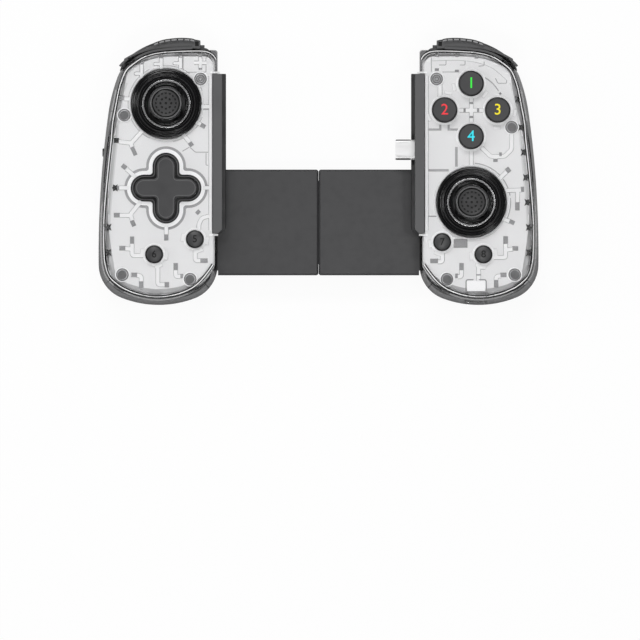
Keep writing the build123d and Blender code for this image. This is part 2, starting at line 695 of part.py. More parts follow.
def plug_shell(gap=0.0):
    """Metal shell of the plug, from its tip to its base, or the room for it."""
    depth = RAIL_OUT + SEAT_GAP - PLUG_TIP
    plane = Plane.YZ.offset(PLUG_TIP)
    size = (PLUG_WIDTH + 2 * gap, PLUG_THICK + 2 * gap)
    return flat_slot((PLUG_Y, PLUG_Z), *size, plane, depth)


def build_usb_plug():
    plane = Plane.YZ.offset(PLUG_TIP)
    width, thick = PLUG_WIDTH - 2 * PLUG_WALL, PLUG_THICK - 2 * PLUG_WALL
    with BuildPart() as plug:
        add(plug_shell())
        add(plug_base())
        add(flat_slot((PLUG_Y, PLUG_Z), width, thick, plane, PLUG_DEPTH), mode=Mode.SUBTRACT)
    return plug


def build_charge_port():
    plane = Plane.XZ.offset(-PORT_FACE)
    width, thick = PORT_WIDTH - 2 * PORT_WALL, PORT_THICK - 2 * PORT_WALL
    with BuildPart() as port:
        back = Plane.XZ.offset(-PORT_FACE - PORT_LENGTH)
        add(flat_slot((PORT_X, PORT_Z), PORT_WIDTH, PORT_THICK, back, PORT_LENGTH))
        inner = Plane.XZ.offset(-PORT_FACE - PORT_LENGTH + PORT_WALL)
        add(flat_slot((PORT_X, PORT_Z), width, thick, inner, PORT_LENGTH), mode=Mode.SUBTRACT)
        half = width / 2 - 2 * PORT_WALL
        low = (PORT_X - half, PORT_FACE + PORT_WALL, PORT_Z - PORT_TONGUE / 2)
        add(block(low, (PORT_X + half, PORT_FACE + PORT_LENGTH, PORT_Z + PORT_TONGUE / 2)))
    return port


def build_bridge_cover(side):
    outer_end = GRIP_INNER - SEAT_GAP
    with BuildPart() as cover:
        low = (SEAM_GAP / 2, BRIDGE_BOTTOM, BRIDGE_BACK)
        add(block(low, (outer_end, BRIDGE_TOP, BRIDGE_FRONT)))
        fillet(cover.edges().filter_by(Axis.Z).group_by(Axis.X)[0], SEAM_CORNER)
        long_edges = cover.edges().filter_by(Axis.X)
        chamfer(long_edges, BRIDGE_EDGE_RADIUS / 2)
        add(tongue())
        half = CHANNEL_WIDTH / 2
        low = (-1, BRIDGE_CENTRE - half, CHANNEL_BACK)
        channel = block(low, (CHANNEL_END, BRIDGE_CENTRE + half, CHANNEL_FRONT))
        add(channel, mode=Mode.SUBTRACT)
        add(rack_body(SEAT_GAP), mode=Mode.SUBTRACT)
    return cover if side == "right" else half_turn(cover)


def rack_body(gap=0.0):
    """Plain bar of the right grip's rack, or the notch that holds its root."""
    inner = PITCH_RADIUS + GEAR_MODULE + TOOTH_ROOT
    low = (-RACK_REACH, BRIDGE_CENTRE - RACK_BACK - gap, GEAR_MIDDLE - GEAR_THICK / 2 - gap)
    high = (BRIDGE_END, BRIDGE_CENTRE - inner + gap, GEAR_MIDDLE + GEAR_THICK / 2 + gap)
    return block(low, high)


def build_rack(side):
    slope = tan(radians(PRESSURE_ANGLE))
    half = (TOOTH_PITCH - TOOTH_BACKLASH) / 4
    tip = half - GEAR_MODULE * slope
    root_depth = GEAR_MODULE + TOOTH_ROOT
    root = half + root_depth * slope
    count = int(RACK_TOOTHED / TOOTH_PITCH)
    first = 1 - int(RACK_REACH / TOOTH_PITCH)
    pitch_line = BRIDGE_CENTRE - PITCH_RADIUS
    places = [(n * TOOTH_PITCH, pitch_line) for n in range(first, first + count)]
    with BuildPart() as rack:
        add(rack_body())
        with BuildSketch(Plane.XY.offset(GEAR_MIDDLE - GEAR_THICK / 2)):
            with Locations(*places):
                Polygon(
                    (-root, -root_depth), (root, -root_depth), (tip, GEAR_MODULE), (-tip, GEAR_MODULE),
                    align=None,
                )
        extrude(amount=GEAR_THICK)
    return rack if side == "right" else half_turn(rack)


def involute(angle):
    return tan(angle) - angle


def build_pinion():
    base = PITCH_RADIUS * cos(radians(PRESSURE_ANGLE))
    tip = PITCH_RADIUS + GEAR_MODULE
    root = PITCH_RADIUS - GEAR_MODULE - TOOTH_ROOT
    half = (TOOTH_PITCH - TOOTH_BACKLASH) / 4 / PITCH_RADIUS + involute(radians(PRESSURE_ANGLE))

    def flank(radius, side):
        turn = half - involute(acos(min(1.0, base / radius)))
        return (radius * cos(side * turn), radius * sin(side * turn))

    with BuildSketch() as tooth:
        with BuildLine():
            lower = ThreePointArc(flank(base, -1), flank((base + tip) / 2, -1), flank(tip, -1))
            upper = ThreePointArc(flank(tip, 1), flank((base + tip) / 2, 1), flank(base, 1))
            Line(lower @ 1, upper @ 0)
            foot = root - TOOTH_ROOT
            Polyline(upper @ 1, (foot, (upper @ 1).Y), (foot, (lower @ 0).Y), lower @ 0)
        make_face()
    with BuildPart() as pinion:
        with BuildSketch(Plane.XY.offset(GEAR_MIDDLE - GEAR_THICK / 2)):
            Circle(root)
            with PolarLocations(0, PINION_TEETH):
                add(tooth.sketch)
        extrude(amount=GEAR_THICK)
        with BuildSketch(Plane.XY.offset(GROOVE_BACK)):
            Circle(PINION_BORE / 2 + BEARING_GAP)
        extrude(amount=SLIDER_FRONT, mode=Mode.SUBTRACT)
    with BuildPart() as placed:
        with Locations((0, BRIDGE_CENTRE, 0)):
            add(pinion.part)
    return placed


def build_slider():
    half = SLIDER_WIDTH / 2
    tooth_room = PITCH_RADIUS + GEAR_MODULE + GROOVE_GAP
    groove_inner = PITCH_RADIUS - GEAR_MODULE - GROOVE_GAP
    groove_outer = RACK_BACK + GROOVE_GAP
    depth = GROOVE_FRONT - GROOVE_BACK
    with BuildPart() as slider:
        low = (-SLIDER_HALF, BRIDGE_CENTRE - half, GROOVE_BACK)
        add(block(low, (SLIDER_HALF, BRIDGE_CENTRE + half, SLIDER_FRONT)))
        fillet(slider.edges().filter_by(Axis.Z), SEAM_CORNER)
        with BuildSketch(Plane.XY.offset(GROOVE_BACK)):
            with Locations((0, BRIDGE_CENTRE)):
                Circle(tooth_room)
                for turn in (0, 180):
                    with PolarLocations(0, 1, start_angle=turn):
                        with Locations((0, (groove_inner + groove_outer) / 2)):
                            Rectangle(2 * SLIDER_HALF + 2, groove_outer - groove_inner)
                        with Locations((-(SPRING_START + SLIDER_HALF) / 2 - 1, SPRING_OFFSET)):
                            length = SLIDER_HALF - SPRING_START + 4
                            Rectangle(length, SPRING_DIAMETER + 2 * GROOVE_GAP)
        extrude(amount=depth, mode=Mode.SUBTRACT)
        add(upright([(0, BRIDGE_CENTRE)], PINION_BORE, GROOVE_BACK, GROOVE_FRONT))
    return slider


def build_slider_plate():
    half = SLIDER_WIDTH / 2
    with BuildPart() as plate:
        low = (-SLIDER_HALF, BRIDGE_CENTRE - half, SLIDER_BACK)
        add(block(low, (SLIDER_HALF, BRIDGE_CENTRE + half, GROOVE_BACK)))
        fillet(plate.edges().filter_by(Axis.Z), SEAM_CORNER)
    return plate


def build_return_spring(side):
    """Closely wound spring along the slider, between a hook at the middle and the grip."""
    centre = (BRIDGE_CENTRE - SPRING_OFFSET, GEAR_MIDDLE)
    with BuildPart() as spring:
        with BuildSketch(Plane.YZ.offset(SPRING_START + SPRING_DIAMETER)):
            with Locations(centre):
                Circle(SPRING_DIAMETER / 2)
                Circle(SPRING_DIAMETER / 2 - SPRING_WIRE, mode=Mode.SUBTRACT)
        extrude(amount=SLIDER_HALF - SPRING_START - SPRING_DIAMETER)
        with BuildSketch(Plane.YZ.offset(SPRING_START)):
            with Locations(centre):
                Rectangle(SPRING_DIAMETER - SPRING_WIRE, SPRING_WIRE)
        extrude(amount=CHANNEL_END - SPRING_START)
    return spring if side == "right" else half_turn(spring)


def build_circuit_board(side):
    posts = POSTS_LEFT if side == "left" else POSTS_RIGHT
    with BuildPart() as board:
        with BuildSketch(Plane.XY.offset(BOARD_BACK)):
            add(grip_outline(BOARD_INSET, BOARD_INSET, RAIL_OUT - GRIP_INNER + PIECE_GAP))
            with Locations(*posts):
                Circle(BOSS_DIAMETER / 2, mode=Mode.SUBTRACT)
            with Locations((GRIP_OUTER, POCKET_FLOOR - POCKET_WALL - PIECE_GAP + 20)):
                Rectangle(100, 40, mode=Mode.SUBTRACT)
        extrude(amount=BOARD_THICK)
    return on_side(side, board)


def stick_place(side):
    return STICK_LEFT if side == "left" else STICK_RIGHT


def turned_about(side, profile_points):
    """Ring made by turning a closed profile, given as radius and height, about a stick's axis."""
    with BuildPart() as ring:
        with BuildSketch(Plane.XZ):
            with BuildLine():
                Polyline(*profile_points, close=True)
            make_face()
        revolve(axis=Axis.Z)
    with BuildPart() as placed:
        with Locations((*stick_place(side), 0)):
            add(ring.part)
    return placed


def build_stick_bowl(side):
    """Glossy cone round a stick, stepped like a funnel."""
    outer = BOWL_DIAMETER / 2
    foot = outer + BOWL_FOOT
    mouth = outer - BOWL_RIM
    floor = BOWL_FLOOR_DIAMETER / 2
    under = BOWL_FLOOR - BOWL_FLOOR_THICK
    profile = [(mouth, BOWL_TOP)]
    for step in range(1, BOWL_STEPS + 1):
        share = step / (BOWL_STEPS + 1)
        radius = mouth + (floor - mouth) * share
        height = BOWL_TOP + (BOWL_FLOOR - BOWL_TOP) * share
        profile.append((radius, height + BOWL_STEP))
        profile.append((radius, height - BOWL_STEP))
    profile.append((floor, BOWL_FLOOR))
    profile.append((BOWL_BORE / 2, BOWL_FLOOR))
    profile.append((BOWL_BORE / 2, under))
    profile.append((floor, under))
    profile.append((outer - 2 * BOWL_FOOT, LEDGE_HEIGHT - BOWL_FOOT))
    profile.append((foot, LEDGE_HEIGHT - BOWL_FOOT))
    profile.append((foot, LEDGE_HEIGHT))
    profile.append((outer, LEDGE_HEIGHT))
    profile.append((outer, BOWL_TOP))
    posts = POSTS_LEFT if side == "left" else POSTS_RIGHT
    with BuildPart() as bowl:
        add(turned_about(side, profile).part)
        post_room = POST_DIAMETER + 2 * PIECE_GAP
        add(upright(posts, post_room, POST_END, LEDGE_HEIGHT), mode=Mode.SUBTRACT)
    return on_side(side, bowl)


def build_stick_ring(side):
    """Low-friction ring that the stick leans on, set in the foot of the bowl."""
    with BuildPart() as ring:
        with BuildSketch(Plane.XZ) as section:
            with Locations(((RING_OUTER + RING_BORE) / 4, BOWL_FLOOR + RING_RISE / 2)):
                Rectangle((RING_OUTER - RING_BORE) / 2, RING_RISE)
            fillet(section.vertices().group_by(Axis.Y)[-1], RING_RISE / 3)
        revolve(axis=Axis.Z)
    with BuildPart() as placed:
        with Locations((*stick_place(side), 0)):
            add(ring.part)
    return on_side(side, placed)


def build_stick_module(side):
    """Open housing of a stick's gimbal, standing on the circuit board."""
    x, y = stick_place(side)
    inner = MODULE_SIDE - 2 * MODULE_WALL
    with BuildPart() as module:
        with Locations((x, y, (BOARD_TOP + MODULE_TOP) / 2)):
            Box(MODULE_SIDE, MODULE_SIDE, MODULE_TOP - BOARD_TOP)
        with Locations((x, y, (BOARD_TOP + MODULE_FLOOR + MODULE_TOP) / 2)):
            Box(inner, inner, MODULE_TOP - BOARD_TOP - MODULE_FLOOR, mode=Mode.SUBTRACT)
        with BuildSketch(Plane.YZ.offset(x)):
            with Locations((y, PIVOT_HEIGHT)):
                Circle(GIMBAL_PIN / 2 + BEARING_GAP)
        extrude(amount=MODULE_SIDE, both=True, mode=Mode.SUBTRACT)
    return on_side(side, module)


def gimbal_frame(side, size, bore, plane, pin_end):
    """Square frame of a gimbal with two pins along the plane's normal."""
    x, y = stick_place(side)
    with BuildPart() as frame:
        with Locations((x, y, PIVOT_HEIGHT)):
            Box(size, size, GIMBAL_THICK)
        add(bore, mode=Mode.SUBTRACT)
        with BuildSketch(plane):
            with Locations((0, 0)):
                Circle(GIMBAL_PIN / 2)
        extrude(amount=pin_end, both=True)
        add(bore, mode=Mode.SUBTRACT)
    return frame


def build_stick_yoke(side):
    """Outer gimbal frame, which tilts about X in the module's walls."""
    x, y = stick_place(side)
    inner = YOKE_SIDE - 2 * YOKE_WIDTH
    low = (x - inner / 2, y - inner / 2, PIVOT_HEIGHT - GIMBAL_THICK)
    room = block(low, (x + inner / 2, y + inner / 2, PIVOT_HEIGHT + GIMBAL_THICK))
    plane = Plane((x, y, PIVOT_HEIGHT), x_dir=(0, 1, 0), z_dir=(1, 0, 0))
    frame = gimbal_frame(side, YOKE_SIDE, room, plane, PIN_END)
    with BuildPart() as yoke:
        add(frame.part)
        with BuildSketch(Plane.XZ.offset(-y)):
            with Locations((x, PIVOT_HEIGHT)):
                Circle(GIMBAL_PIN / 2 + BEARING_GAP)
        extrude(amount=YOKE_SIDE, both=True, mode=Mode.SUBTRACT)
    return on_side(side, yoke)


def build_stick_rocker(side):
    """Inner gimbal frame, which tilts about Y in the yoke and guides the shaft."""
    x, y = stick_place(side)
    radius = SHAFT_DIAMETER + 2 * BEARING_GAP
    hole = upright([(x, y)], radius, PIVOT_HEIGHT - GIMBAL_THICK, PIVOT_HEIGHT + GIMBAL_THICK)
    plane = Plane((x, y, PIVOT_HEIGHT), x_dir=(1, 0, 0), z_dir=(0, 1, 0))
    return on_side(side, gimbal_frame(side, ROCKER_SIDE, hole, plane, YOKE_SIDE / 2))


def build_stick_shaft(side):
    """Shaft that carries the cap and is pushed down for a click."""
    rocker_top = PIVOT_HEIGHT + GIMBAL_THICK / 2
    collar = rocker_top + STICK_CLICK + BUTTON_GAP
    points = [stick_place(side)]
    with BuildPart() as shaft:
        add(upright(points, SHAFT_DIAMETER, PIVOT_HEIGHT - SHAFT_BELOW, SHAFT_TOP))
        add(upright(points, COLLAR_DIAMETER, collar, collar + COLLAR_THICK))
    return on_side(side, shaft)


def build_stick_cap(side):
    """Thumb cap: dished top with grip dots, neck, and a dome that closes the bowl."""
    edge = radians(DOME_EDGE_ANGLE)
    inner = DOME_RADIUS - DOME_WALL
    waist = CAP_TOP - CAP_THICK
    neck = CAP_NECK / 2
    neck_foot = PIVOT_HEIGHT + sqrt(DOME_RADIUS**2 - neck**2)
    rim = CAP_DIAMETER / 2
    disc = CAP_DISC / 2
    shaft = SHAFT_DIAMETER / 2
    with BuildPart() as cap:
        with BuildSketch(Plane.XZ):
            with BuildLine():
                crown = ThreePointArc(
                    (0, CAP_TOP - CAP_RIM - CAP_DISH),
                    (disc / 2, CAP_TOP - CAP_RIM - CAP_DISH * 0.75),
                    (disc, CAP_TOP - CAP_RIM),
                )
                Polyline(crown @ 1, (disc, CAP_TOP - CAP_RIM / 2), (disc + CAP_RIM, CAP_TOP))
                ThreePointArc(
                    (disc + CAP_RIM, CAP_TOP),
                    (rim, CAP_TOP - CAP_THICK * 0.45),
                    (rim - CAP_RIM, waist),
                )
                throat = ThreePointArc(
                    (rim - CAP_RIM, waist),
                    (neck + (rim - neck) * 0.25, waist - CAP_THICK * 0.45),
                    (neck, neck_foot),
                )
                outside = RadiusArc(
                    throat @ 1,
                    (DOME_RADIUS * cos(edge), PIVOT_HEIGHT + DOME_RADIUS * sin(edge)),
                    DOME_RADIUS,
                )
                Line(outside @ 1, (inner * cos(edge), PIVOT_HEIGHT + inner * sin(edge)))
                inside_top = PIVOT_HEIGHT + sqrt(inner**2 - shaft**2)
                RadiusArc(
                    (inner * cos(edge), PIVOT_HEIGHT + inner * sin(edge)),
                    (shaft, inside_top),
                    -inner,
                )
                Polyline((shaft, inside_top), (shaft, SHAFT_TOP), (0, SHAFT_TOP), crown @ 0)
            make_face()
        revolve(axis=Axis.Z)
    with BuildPart() as placed:
        with Locations((*stick_place(side), 0)):
            add(cap.part)
    return on_side(side, placed)


def push_button(place, diameter, top):
    """Round button with a flange that stops it under the panel."""
    with BuildPart() as button:
        add(upright([place], diameter, FLANGE_BOTTOM, top))
        add(upright([place], diameter + 2 * FLANGE_WIDTH, FLANGE_BOTTOM, FLANGE_TOP))
    return button


def build_face_button(place):
    with BuildPart() as button:
        add(push_button(place, FACE_DIAMETER, FACE_TOP).part)
        fillet(button.faces().sort_by(Axis.Z)[-1].edges(), FACE_EDGE)
    return button


def build_menu_button(side, place):
    """Small round button with a crowned top."""
    radius = MENU_DIAMETER / 2
    ball = (radius**2 + MENU_CROWN**2) / (2 * MENU_CROWN)
    with BuildPart() as button:
        add(push_button(place, MENU_DIAMETER, MENU_TOP).part)
        with BuildPart(mode=Mode.PRIVATE) as crown:
            with Locations((*place, MENU_TOP - ball)):
                Sphere(ball)
            add(upright([place], MENU_DIAMETER + 4, FLANGE_BOTTOM, FLANGE_TOP))
        add(crown.part, mode=Mode.INTERSECT)
    return on_side(side, button)


def rubber_dome(place, diameter, top):
    """Membrane dome under a button."""
    with BuildPart() as dome:
        with BuildSketch(Plane.XY.offset(MEMBRANE_TOP)):
            with Locations(place):
                Circle(diameter / 2)
        with BuildSketch(Plane.XY.offset(top)):
            with Locations(place):
                Circle(diameter / 2 * DOME_TOP_SHARE)
        loft()
    return dome.part


def membrane_sheet(places, radius):
    """Flat sheet under a group of domes."""
    with BuildPart() as sheet:
        with BuildSketch(Plane.XY.offset(BOARD_TOP)):
            with Locations(*places):
                Circle(radius)
            make_hull()
        extrude(amount=MEMBRANE_SHEET)
    return sheet.part


def build_membrane(side):
    menus = MENU_PLACES[side]
    with BuildPart() as membrane:
        for place in menus:
            add(membrane_sheet([place, place], MENU_DIAMETER / 2 + MEMBRANE_RIM))
            add(rubber_dome(place, MENU_DIAMETER, FLANGE_BOTTOM - BEARING_GAP))
        if side == "left":
            flange = DPAD_FLANGE_TOP - DPAD_FLANGE
            places = dpad_places()
            add(membrane_sheet(places, DPAD_ARM / 2 + MEMBRANE_RIM / 2))
            for place in places:
                add(rubber_dome(place, DPAD_ARM, flange - BEARING_GAP))
            post_top = DPAD_PIVOT - DPAD_BALL / 2 - BEARING_GAP
            add(upright([DPAD_CENTRE], DPAD_BALL, BOARD_TOP, post_top))
        else:
            add(membrane_sheet(FACE_PLACES, FACE_DOME / 2 + MEMBRANE_RIM))
            for place in FACE_PLACES:
                add(rubber_dome(place, FACE_DOME, FLANGE_BOTTOM - BEARING_GAP))
        add(trigger_room(POCKET_WALL + PIECE_GAP), mode=Mode.SUBTRACT)
    return on_side(side, membrane)


def around(centre, distance):
    """Four places above, left of, right of and below a centre."""
    x, y = centre
    return [(x, y + distance), (x - distance, y), (x + distance, y), (x, y - distance)]


def dpad_places():
    return around(DPAD_CENTRE, DPAD_DOME_OFFSET)


FACE_PLACES = around(FACE_CENTRE, FACE_SPACING)
MENU_PLACES = {
    "left": [MENU_INNER_LEFT, MENU_OUTER_LEFT],
    "right": [MENU_INNER_RIGHT, MENU_OUTER_RIGHT],
}


def build_dpad_cap():
    """Cross of the direction pad, with a wide foot under the panel and a ball socket."""
    x, y = DPAD_CENTRE
    foot = DPAD_FLANGE_TOP - DPAD_FLANGE
    with BuildPart() as cap:
        with BuildSketch(Plane.XY.offset(foot)):
            add(cross())
        extrude(amount=DPAD_TOP - foot)
        fillet(cap.faces().sort_by(Axis.Z)[-1].edges(), DPAD_EDGE)
        with BuildSketch(Plane.XY.offset(foot)):
            add(cross(DPAD_RECESS + PIECE_GAP))
        extrude(amount=DPAD_FLANGE)
        add(upright([DPAD_CENTRE], DPAD_BOSS, DPAD_PIVOT, DPAD_FLANGE_TOP))
        with Locations((x, y, DPAD_PIVOT)):
            Sphere(DPAD_BALL / 2 + BEARING_GAP, mode=Mode.SUBTRACT)
    return on_side("left", cap)


def build_dpad_pivot():
    """Ball under the middle of the direction pad."""
    with BuildPart() as ball:
        with Locations((*DPAD_CENTRE, DPAD_PIVOT)):
            Sphere(DPAD_BALL / 2)
    return on_side("left", ball)


def build_bumper(side):
    pivot_x, pivot_y = BUMPER_PIVOT
    pivot = Axis((pivot_x, pivot_y, 0), (0, 0, 1))
    grown = offset(grip_outline(), amount=BUMPER_LIFT)
    swept = grown.rotate(pivot, BUMPER_ANGLE)
    ear = BUMPER_EAR
    with BuildPart() as bumper:
        with BuildSketch(Plane.XY.offset(BUMPER_BACK)):
            with BuildLine():
                ThreePointArc(BUMPER_TOP_INNER, BUMPER_TOP_MIDDLE, BUMPER_TOP_OUTER)
                low = GRIP_SIDE_HIGH[1]
                outer = (SHOULDER_END, low)
                Polyline(BUMPER_TOP_OUTER, outer, (SHOULDER_START, low), BUMPER_TOP_INNER)
            make_face()
            add(grown, mode=Mode.SUBTRACT)
            add(swept, mode=Mode.SUBTRACT)
        extrude(amount=BUMPER_FRONT - BUMPER_BACK)
        end_edges = bumper.edges().filter_by(Axis.Z).group_by(Axis.X)[-1].sort_by(Axis.Y)
        end_height = end_edges[-1].center().Y - end_edges[0].center().Y
        fillet(end_edges[-1], min(BUMPER_CORNER, end_height * 0.6))
        front_edges = bumper.faces().sort_by(Axis.Z)[-1].edges()
        long_edge = front_edges.filter_by(GeomType.CIRCLE).sort_by(Axis.Y)[-1]
        fillet(long_edge, min(BUMPER_EDGE, end_height * 0.3))
        with BuildSketch(Plane.XY.offset(BUMPER_EAR_BACK)):
            with Locations(BUMPER_PIVOT):
                Circle(ear)
            reach = SHOULDER_START + ear - PIECE_GAP - pivot_x
            with Locations(BUMPER_PIVOT):
                Rectangle(reach, ear + BUMPER_NUB, align=(Align.MIN, Align.MIN))
            with Locations(BUMPER_PIVOT):
                Circle(BUMPER_PIN / 2 + BEARING_GAP, mode=Mode.SUBTRACT)
        extrude(amount=BUMPER_EAR_THICK)
    return on_side(side, bumper)


def trigger_plan(inset):
    """Trigger seen from the front, with its finger face drawn in."""
    inner = (TRIGGER_TOP_INNER[0], TRIGGER_TOP_INNER[1] - inset)
    middle = (TRIGGER_TOP_MIDDLE[0] - inset / 3, TRIGGER_TOP_MIDDLE[1] - inset)
    outer = moved(TRIGGER_TOP_OUTER, (0.7, 0.7), inset)
    end = (TRIGGER_OUTER[0] - inset, TRIGGER_OUTER[1])
    with BuildSketch() as plan:
        with BuildLine():
            top = ThreePointArc(inner, middle, outer)
            TangentArc(outer, end, tangent=top % 1)
            Polyline(end, (inner[0], end[1]), inner)
        make_face()
    return plan.sketch


def trigger_body(inset, front):
    """Trigger's finger form, or the hollow in it."""
    with BuildPart() as body:
        for height, drawn in TRIGGER_ROWS:
            with BuildSketch(Plane.XY.offset(min(height, front))):
                add(trigger_plan(drawn + inset))
        loft()
    return body.part


def build_trigger(side):
    rib_places = [SHOULDER_START + TRIGGER_RIB / 2, TRIGGER_LUG_AT - PIECE_GAP - TRIGGER_RIB / 2]
    reach = GRIP_OUTER - SHOULDER_START
    with BuildPart() as trigger:
        add(trigger_body(0, TRIGGER_FRONT))
        low = (SHOULDER_START + TRIGGER_RIB, POCKET_FLOOR - 1, -1)
        hollow = trigger_body(TRIGGER_WALL, TRIGGER_FRONT)
        with BuildPart(mode=Mode.PRIVATE) as room:
            add(hollow)
            high = (TRIGGER_LUG_AT - PIECE_GAP - TRIGGER_RIB, GRIP_TOP + 9, TRIGGER_FRONT - TRIGGER_WALL)
            add(block(low, high), mode=Mode.INTERSECT)
        add(room.part, mode=Mode.SUBTRACT)
        with BuildPart(mode=Mode.PRIVATE) as outer_room:
            add(hollow)
            low = (TRIGGER_LUG_AT - PIECE_GAP, POCKET_FLOOR - 1, -1)
            add(block(low, (GRIP_OUTER, GRIP_TOP + 9, TRIGGER_FRONT + 1)), mode=Mode.INTERSECT)
        add(outer_room.part, mode=Mode.SUBTRACT)
        # slope in front of the pin that keeps clear of the pocket when the trigger is pulled
        far = POCKET_FLOOR - TRIGGER_WALL
        drop = (TRIGGER_PIVOT_Y - far) * tan(radians(TRIGGER_ANGLE))
        with BuildSketch(Plane.YZ.offset(SHOULDER_START - 1)):
            with BuildLine():
                Polyline(
                    (TRIGGER_PIVOT_Y, TRIGGER_FRONT),
                    (far, TRIGGER_FRONT - drop),
                    (far, TRIGGER_FRONT + 1),
                    (TRIGGER_PIVOT_Y, TRIGGER_FRONT + 1),
                    close=True,
                )
            make_face()
        extrude(amount=reach, mode=Mode.SUBTRACT)
        # slope behind the finger face that keeps clear of the pocket's floor
        with BuildSketch(Plane.YZ.offset(SHOULDER_START - 1)):
            with BuildLine():
                Polyline(
                    (POCKET_FLOOR - 4, TRIGGER_PIVOT_Z - TRIGGER_LUG),
                    (TRIGGER_PIVOT_Y - TRIGGER_LUG, TRIGGER_PIVOT_Z - TRIGGER_LUG),
                    (TRIGGER_PIVOT_Y + TRIGGER_LUG, -1),
                    (POCKET_FLOOR - 4, -1),
                    close=True,
                )
            make_face()
        extrude(amount=reach, mode=Mode.SUBTRACT)
        with BuildSketch(Plane.YZ.offset(SHOULDER_START - 1)):
            with Locations((TRIGGER_PIVOT_Y, TRIGGER_PIVOT_Z)):
                Circle(TRIGGER_PIN / 2 + BEARING_GAP)
        extrude(amount=reach, mode=Mode.SUBTRACT)
    return on_side(side, trigger)


def build_trigger_pin(side):
    with BuildPart() as pin:
        add(trigger_bore())
    return on_side(side, pin)


def build_shell_screws(side):
    """Self-tapping screws that hold the cover's posts from the back."""
    posts = POSTS_LEFT if side == "left" else POSTS_RIGHT
    with BuildPart() as screws:
        add(upright(posts, SCREW_HEAD, SCREW_SEAT - SCREW_HEAD_THICK, SCREW_SEAT))
        add(upright(posts, SCREW_SHANK, SCREW_SEAT, SCREW_SEAT + SCREW_LENGTH))
        with Locations(*[(x, y, SCREW_SEAT - SCREW_HEAD_THICK) for x, y in posts]):
            Box(SCREW_HEAD * 0.6, 0.5, SCREW_HEAD_THICK, mode=Mode.SUBTRACT)
            Box(0.5, SCREW_HEAD * 0.6, SCREW_HEAD_THICK, mode=Mode.SUBTRACT)
    return on_side(side, screws)


def build_slide_switch():
    """Knob of the slide switch, with the plate that runs behind the slot."""
    plate_out = SWITCH_OUT - SWITCH_DEPTH + PIECE_GAP
    half = SWITCH_LENGTH / 2
    rise = SWITCH_HEIGHT / 2
    with BuildPart() as knob:
        low = (plate_out - SWITCH_PLATE, SWITCH_Y - half, SWITCH_Z - rise)
        add(block(low, (SWITCH_OUT, SWITCH_Y + half, SWITCH_Z + rise)))
        fillet(knob.edges().group_by(Axis.X)[-1], SWITCH_PLATE / 3)
    return on_side("left", knob)


GRIP_PIECES = {
    "rear_shell": lambda side: on_side(side, build_rear_shell(side)),
    "inner_panel": build_inner_panel,
    "front_cover": build_front_cover,
    "rail": build_rail,
    "rail_pad": build_rail_pad,
    "bridge_cover": build_bridge_cover,
    "rack": build_rack,
    "return_spring": build_return_spring,
    "circuit_board": build_circuit_board,
    "membrane": build_membrane,
    "stick_bowl": build_stick_bowl,
    "stick_ring": build_stick_ring,
    "stick_module": build_stick_module,
    "stick_yoke": build_stick_yoke,
    "stick_rocker": build_stick_rocker,
    "stick_shaft": build_stick_shaft,
    "stick_cap": build_stick_cap,
    "bumper": build_bumper,
    "trigger": build_trigger,
    "trigger_pin": build_trigger_pin,
    "shell_screws": build_shell_screws,
}

os.makedirs("parts", exist_ok=True)
for side in ("left", "right"):
    for name, build in GRIP_PIECES.items():
        keep(build(side), f"{side}_{name}")
    for name, place in zip(("inner", "outer"), MENU_PLACES[side]):
        keep(build_menu_button(side, place), f"{side}_menu_button_{name}")
for name, place in zip(("top", "left", "right", "bottom"), FACE_PLACES):
    keep(build_face_button(place), f"face_button_{name}")
keep(build_dpad_cap(), "dpad_cap")
keep(build_dpad_pivot(), "dpad_pivot")
keep(build_slide_switch(), "slide_switch")
keep(build_usb_plug(), "usb_plug")
keep(build_charge_port(), "charge_port")
keep(build_slider(), "centre_slider")
keep(build_slider_plate(), "slider_plate")
keep(build_pinion(), "pinion")
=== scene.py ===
import math

import bpy
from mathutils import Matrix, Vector
from mathutils.bvhtree import BVHTree


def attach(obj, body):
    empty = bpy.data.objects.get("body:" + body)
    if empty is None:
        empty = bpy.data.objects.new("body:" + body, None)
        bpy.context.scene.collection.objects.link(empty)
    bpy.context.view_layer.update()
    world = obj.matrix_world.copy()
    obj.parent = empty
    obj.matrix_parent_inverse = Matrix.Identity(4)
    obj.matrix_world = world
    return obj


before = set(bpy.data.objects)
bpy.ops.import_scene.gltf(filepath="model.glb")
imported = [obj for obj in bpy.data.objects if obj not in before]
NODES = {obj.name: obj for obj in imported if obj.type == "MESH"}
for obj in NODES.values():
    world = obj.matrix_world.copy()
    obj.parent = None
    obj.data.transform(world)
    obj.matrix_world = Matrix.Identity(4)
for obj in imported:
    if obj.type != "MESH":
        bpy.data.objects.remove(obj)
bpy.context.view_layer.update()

# Millimetres from the controller's middle, x outwards on either side and y up, and degrees,
# unless a comment says otherwise
MM = 0.001
SIDES = {"left": -1, "right": 1}
MENU_KEYS = ("inner", "outer")
FACE_KEYS = ("top", "left", "right", "bottom")


def middle_of(name):
    """Middle of a node, seen from the front."""
    spots = [vertex.co / MM for vertex in NODES[name].data.vertices]
    x, y = (min(spot[k] for spot in spots) + max(spot[k] for spot in spots) for k in (0, 1))
    return (round(abs(x / 2), 2), round(y / 2, 2))


STICKS = {side: middle_of(f"{side}_stick_cap") for side in SIDES}
MENUS = {side: [middle_of(f"{side}_menu_button_{key}") for key in MENU_KEYS] for side in SIDES}
FACES = {key: middle_of(f"face_button_{key}") for key in FACE_KEYS}
DPAD = middle_of("dpad_cap")
POSTS = {
    "left": [(49.0, 38.4), (53.3, -44.7), (80.6, 23.4), (81.4, -42.8)],
    "right": [(49.0, 38.4), (53.3, -44.7), (80.1, 18.4), (81.4, -42.8)],
}

# Height of the panels' face and depth of the moats in it
PANEL = 24.0
MOAT_DEPTH = 0.5
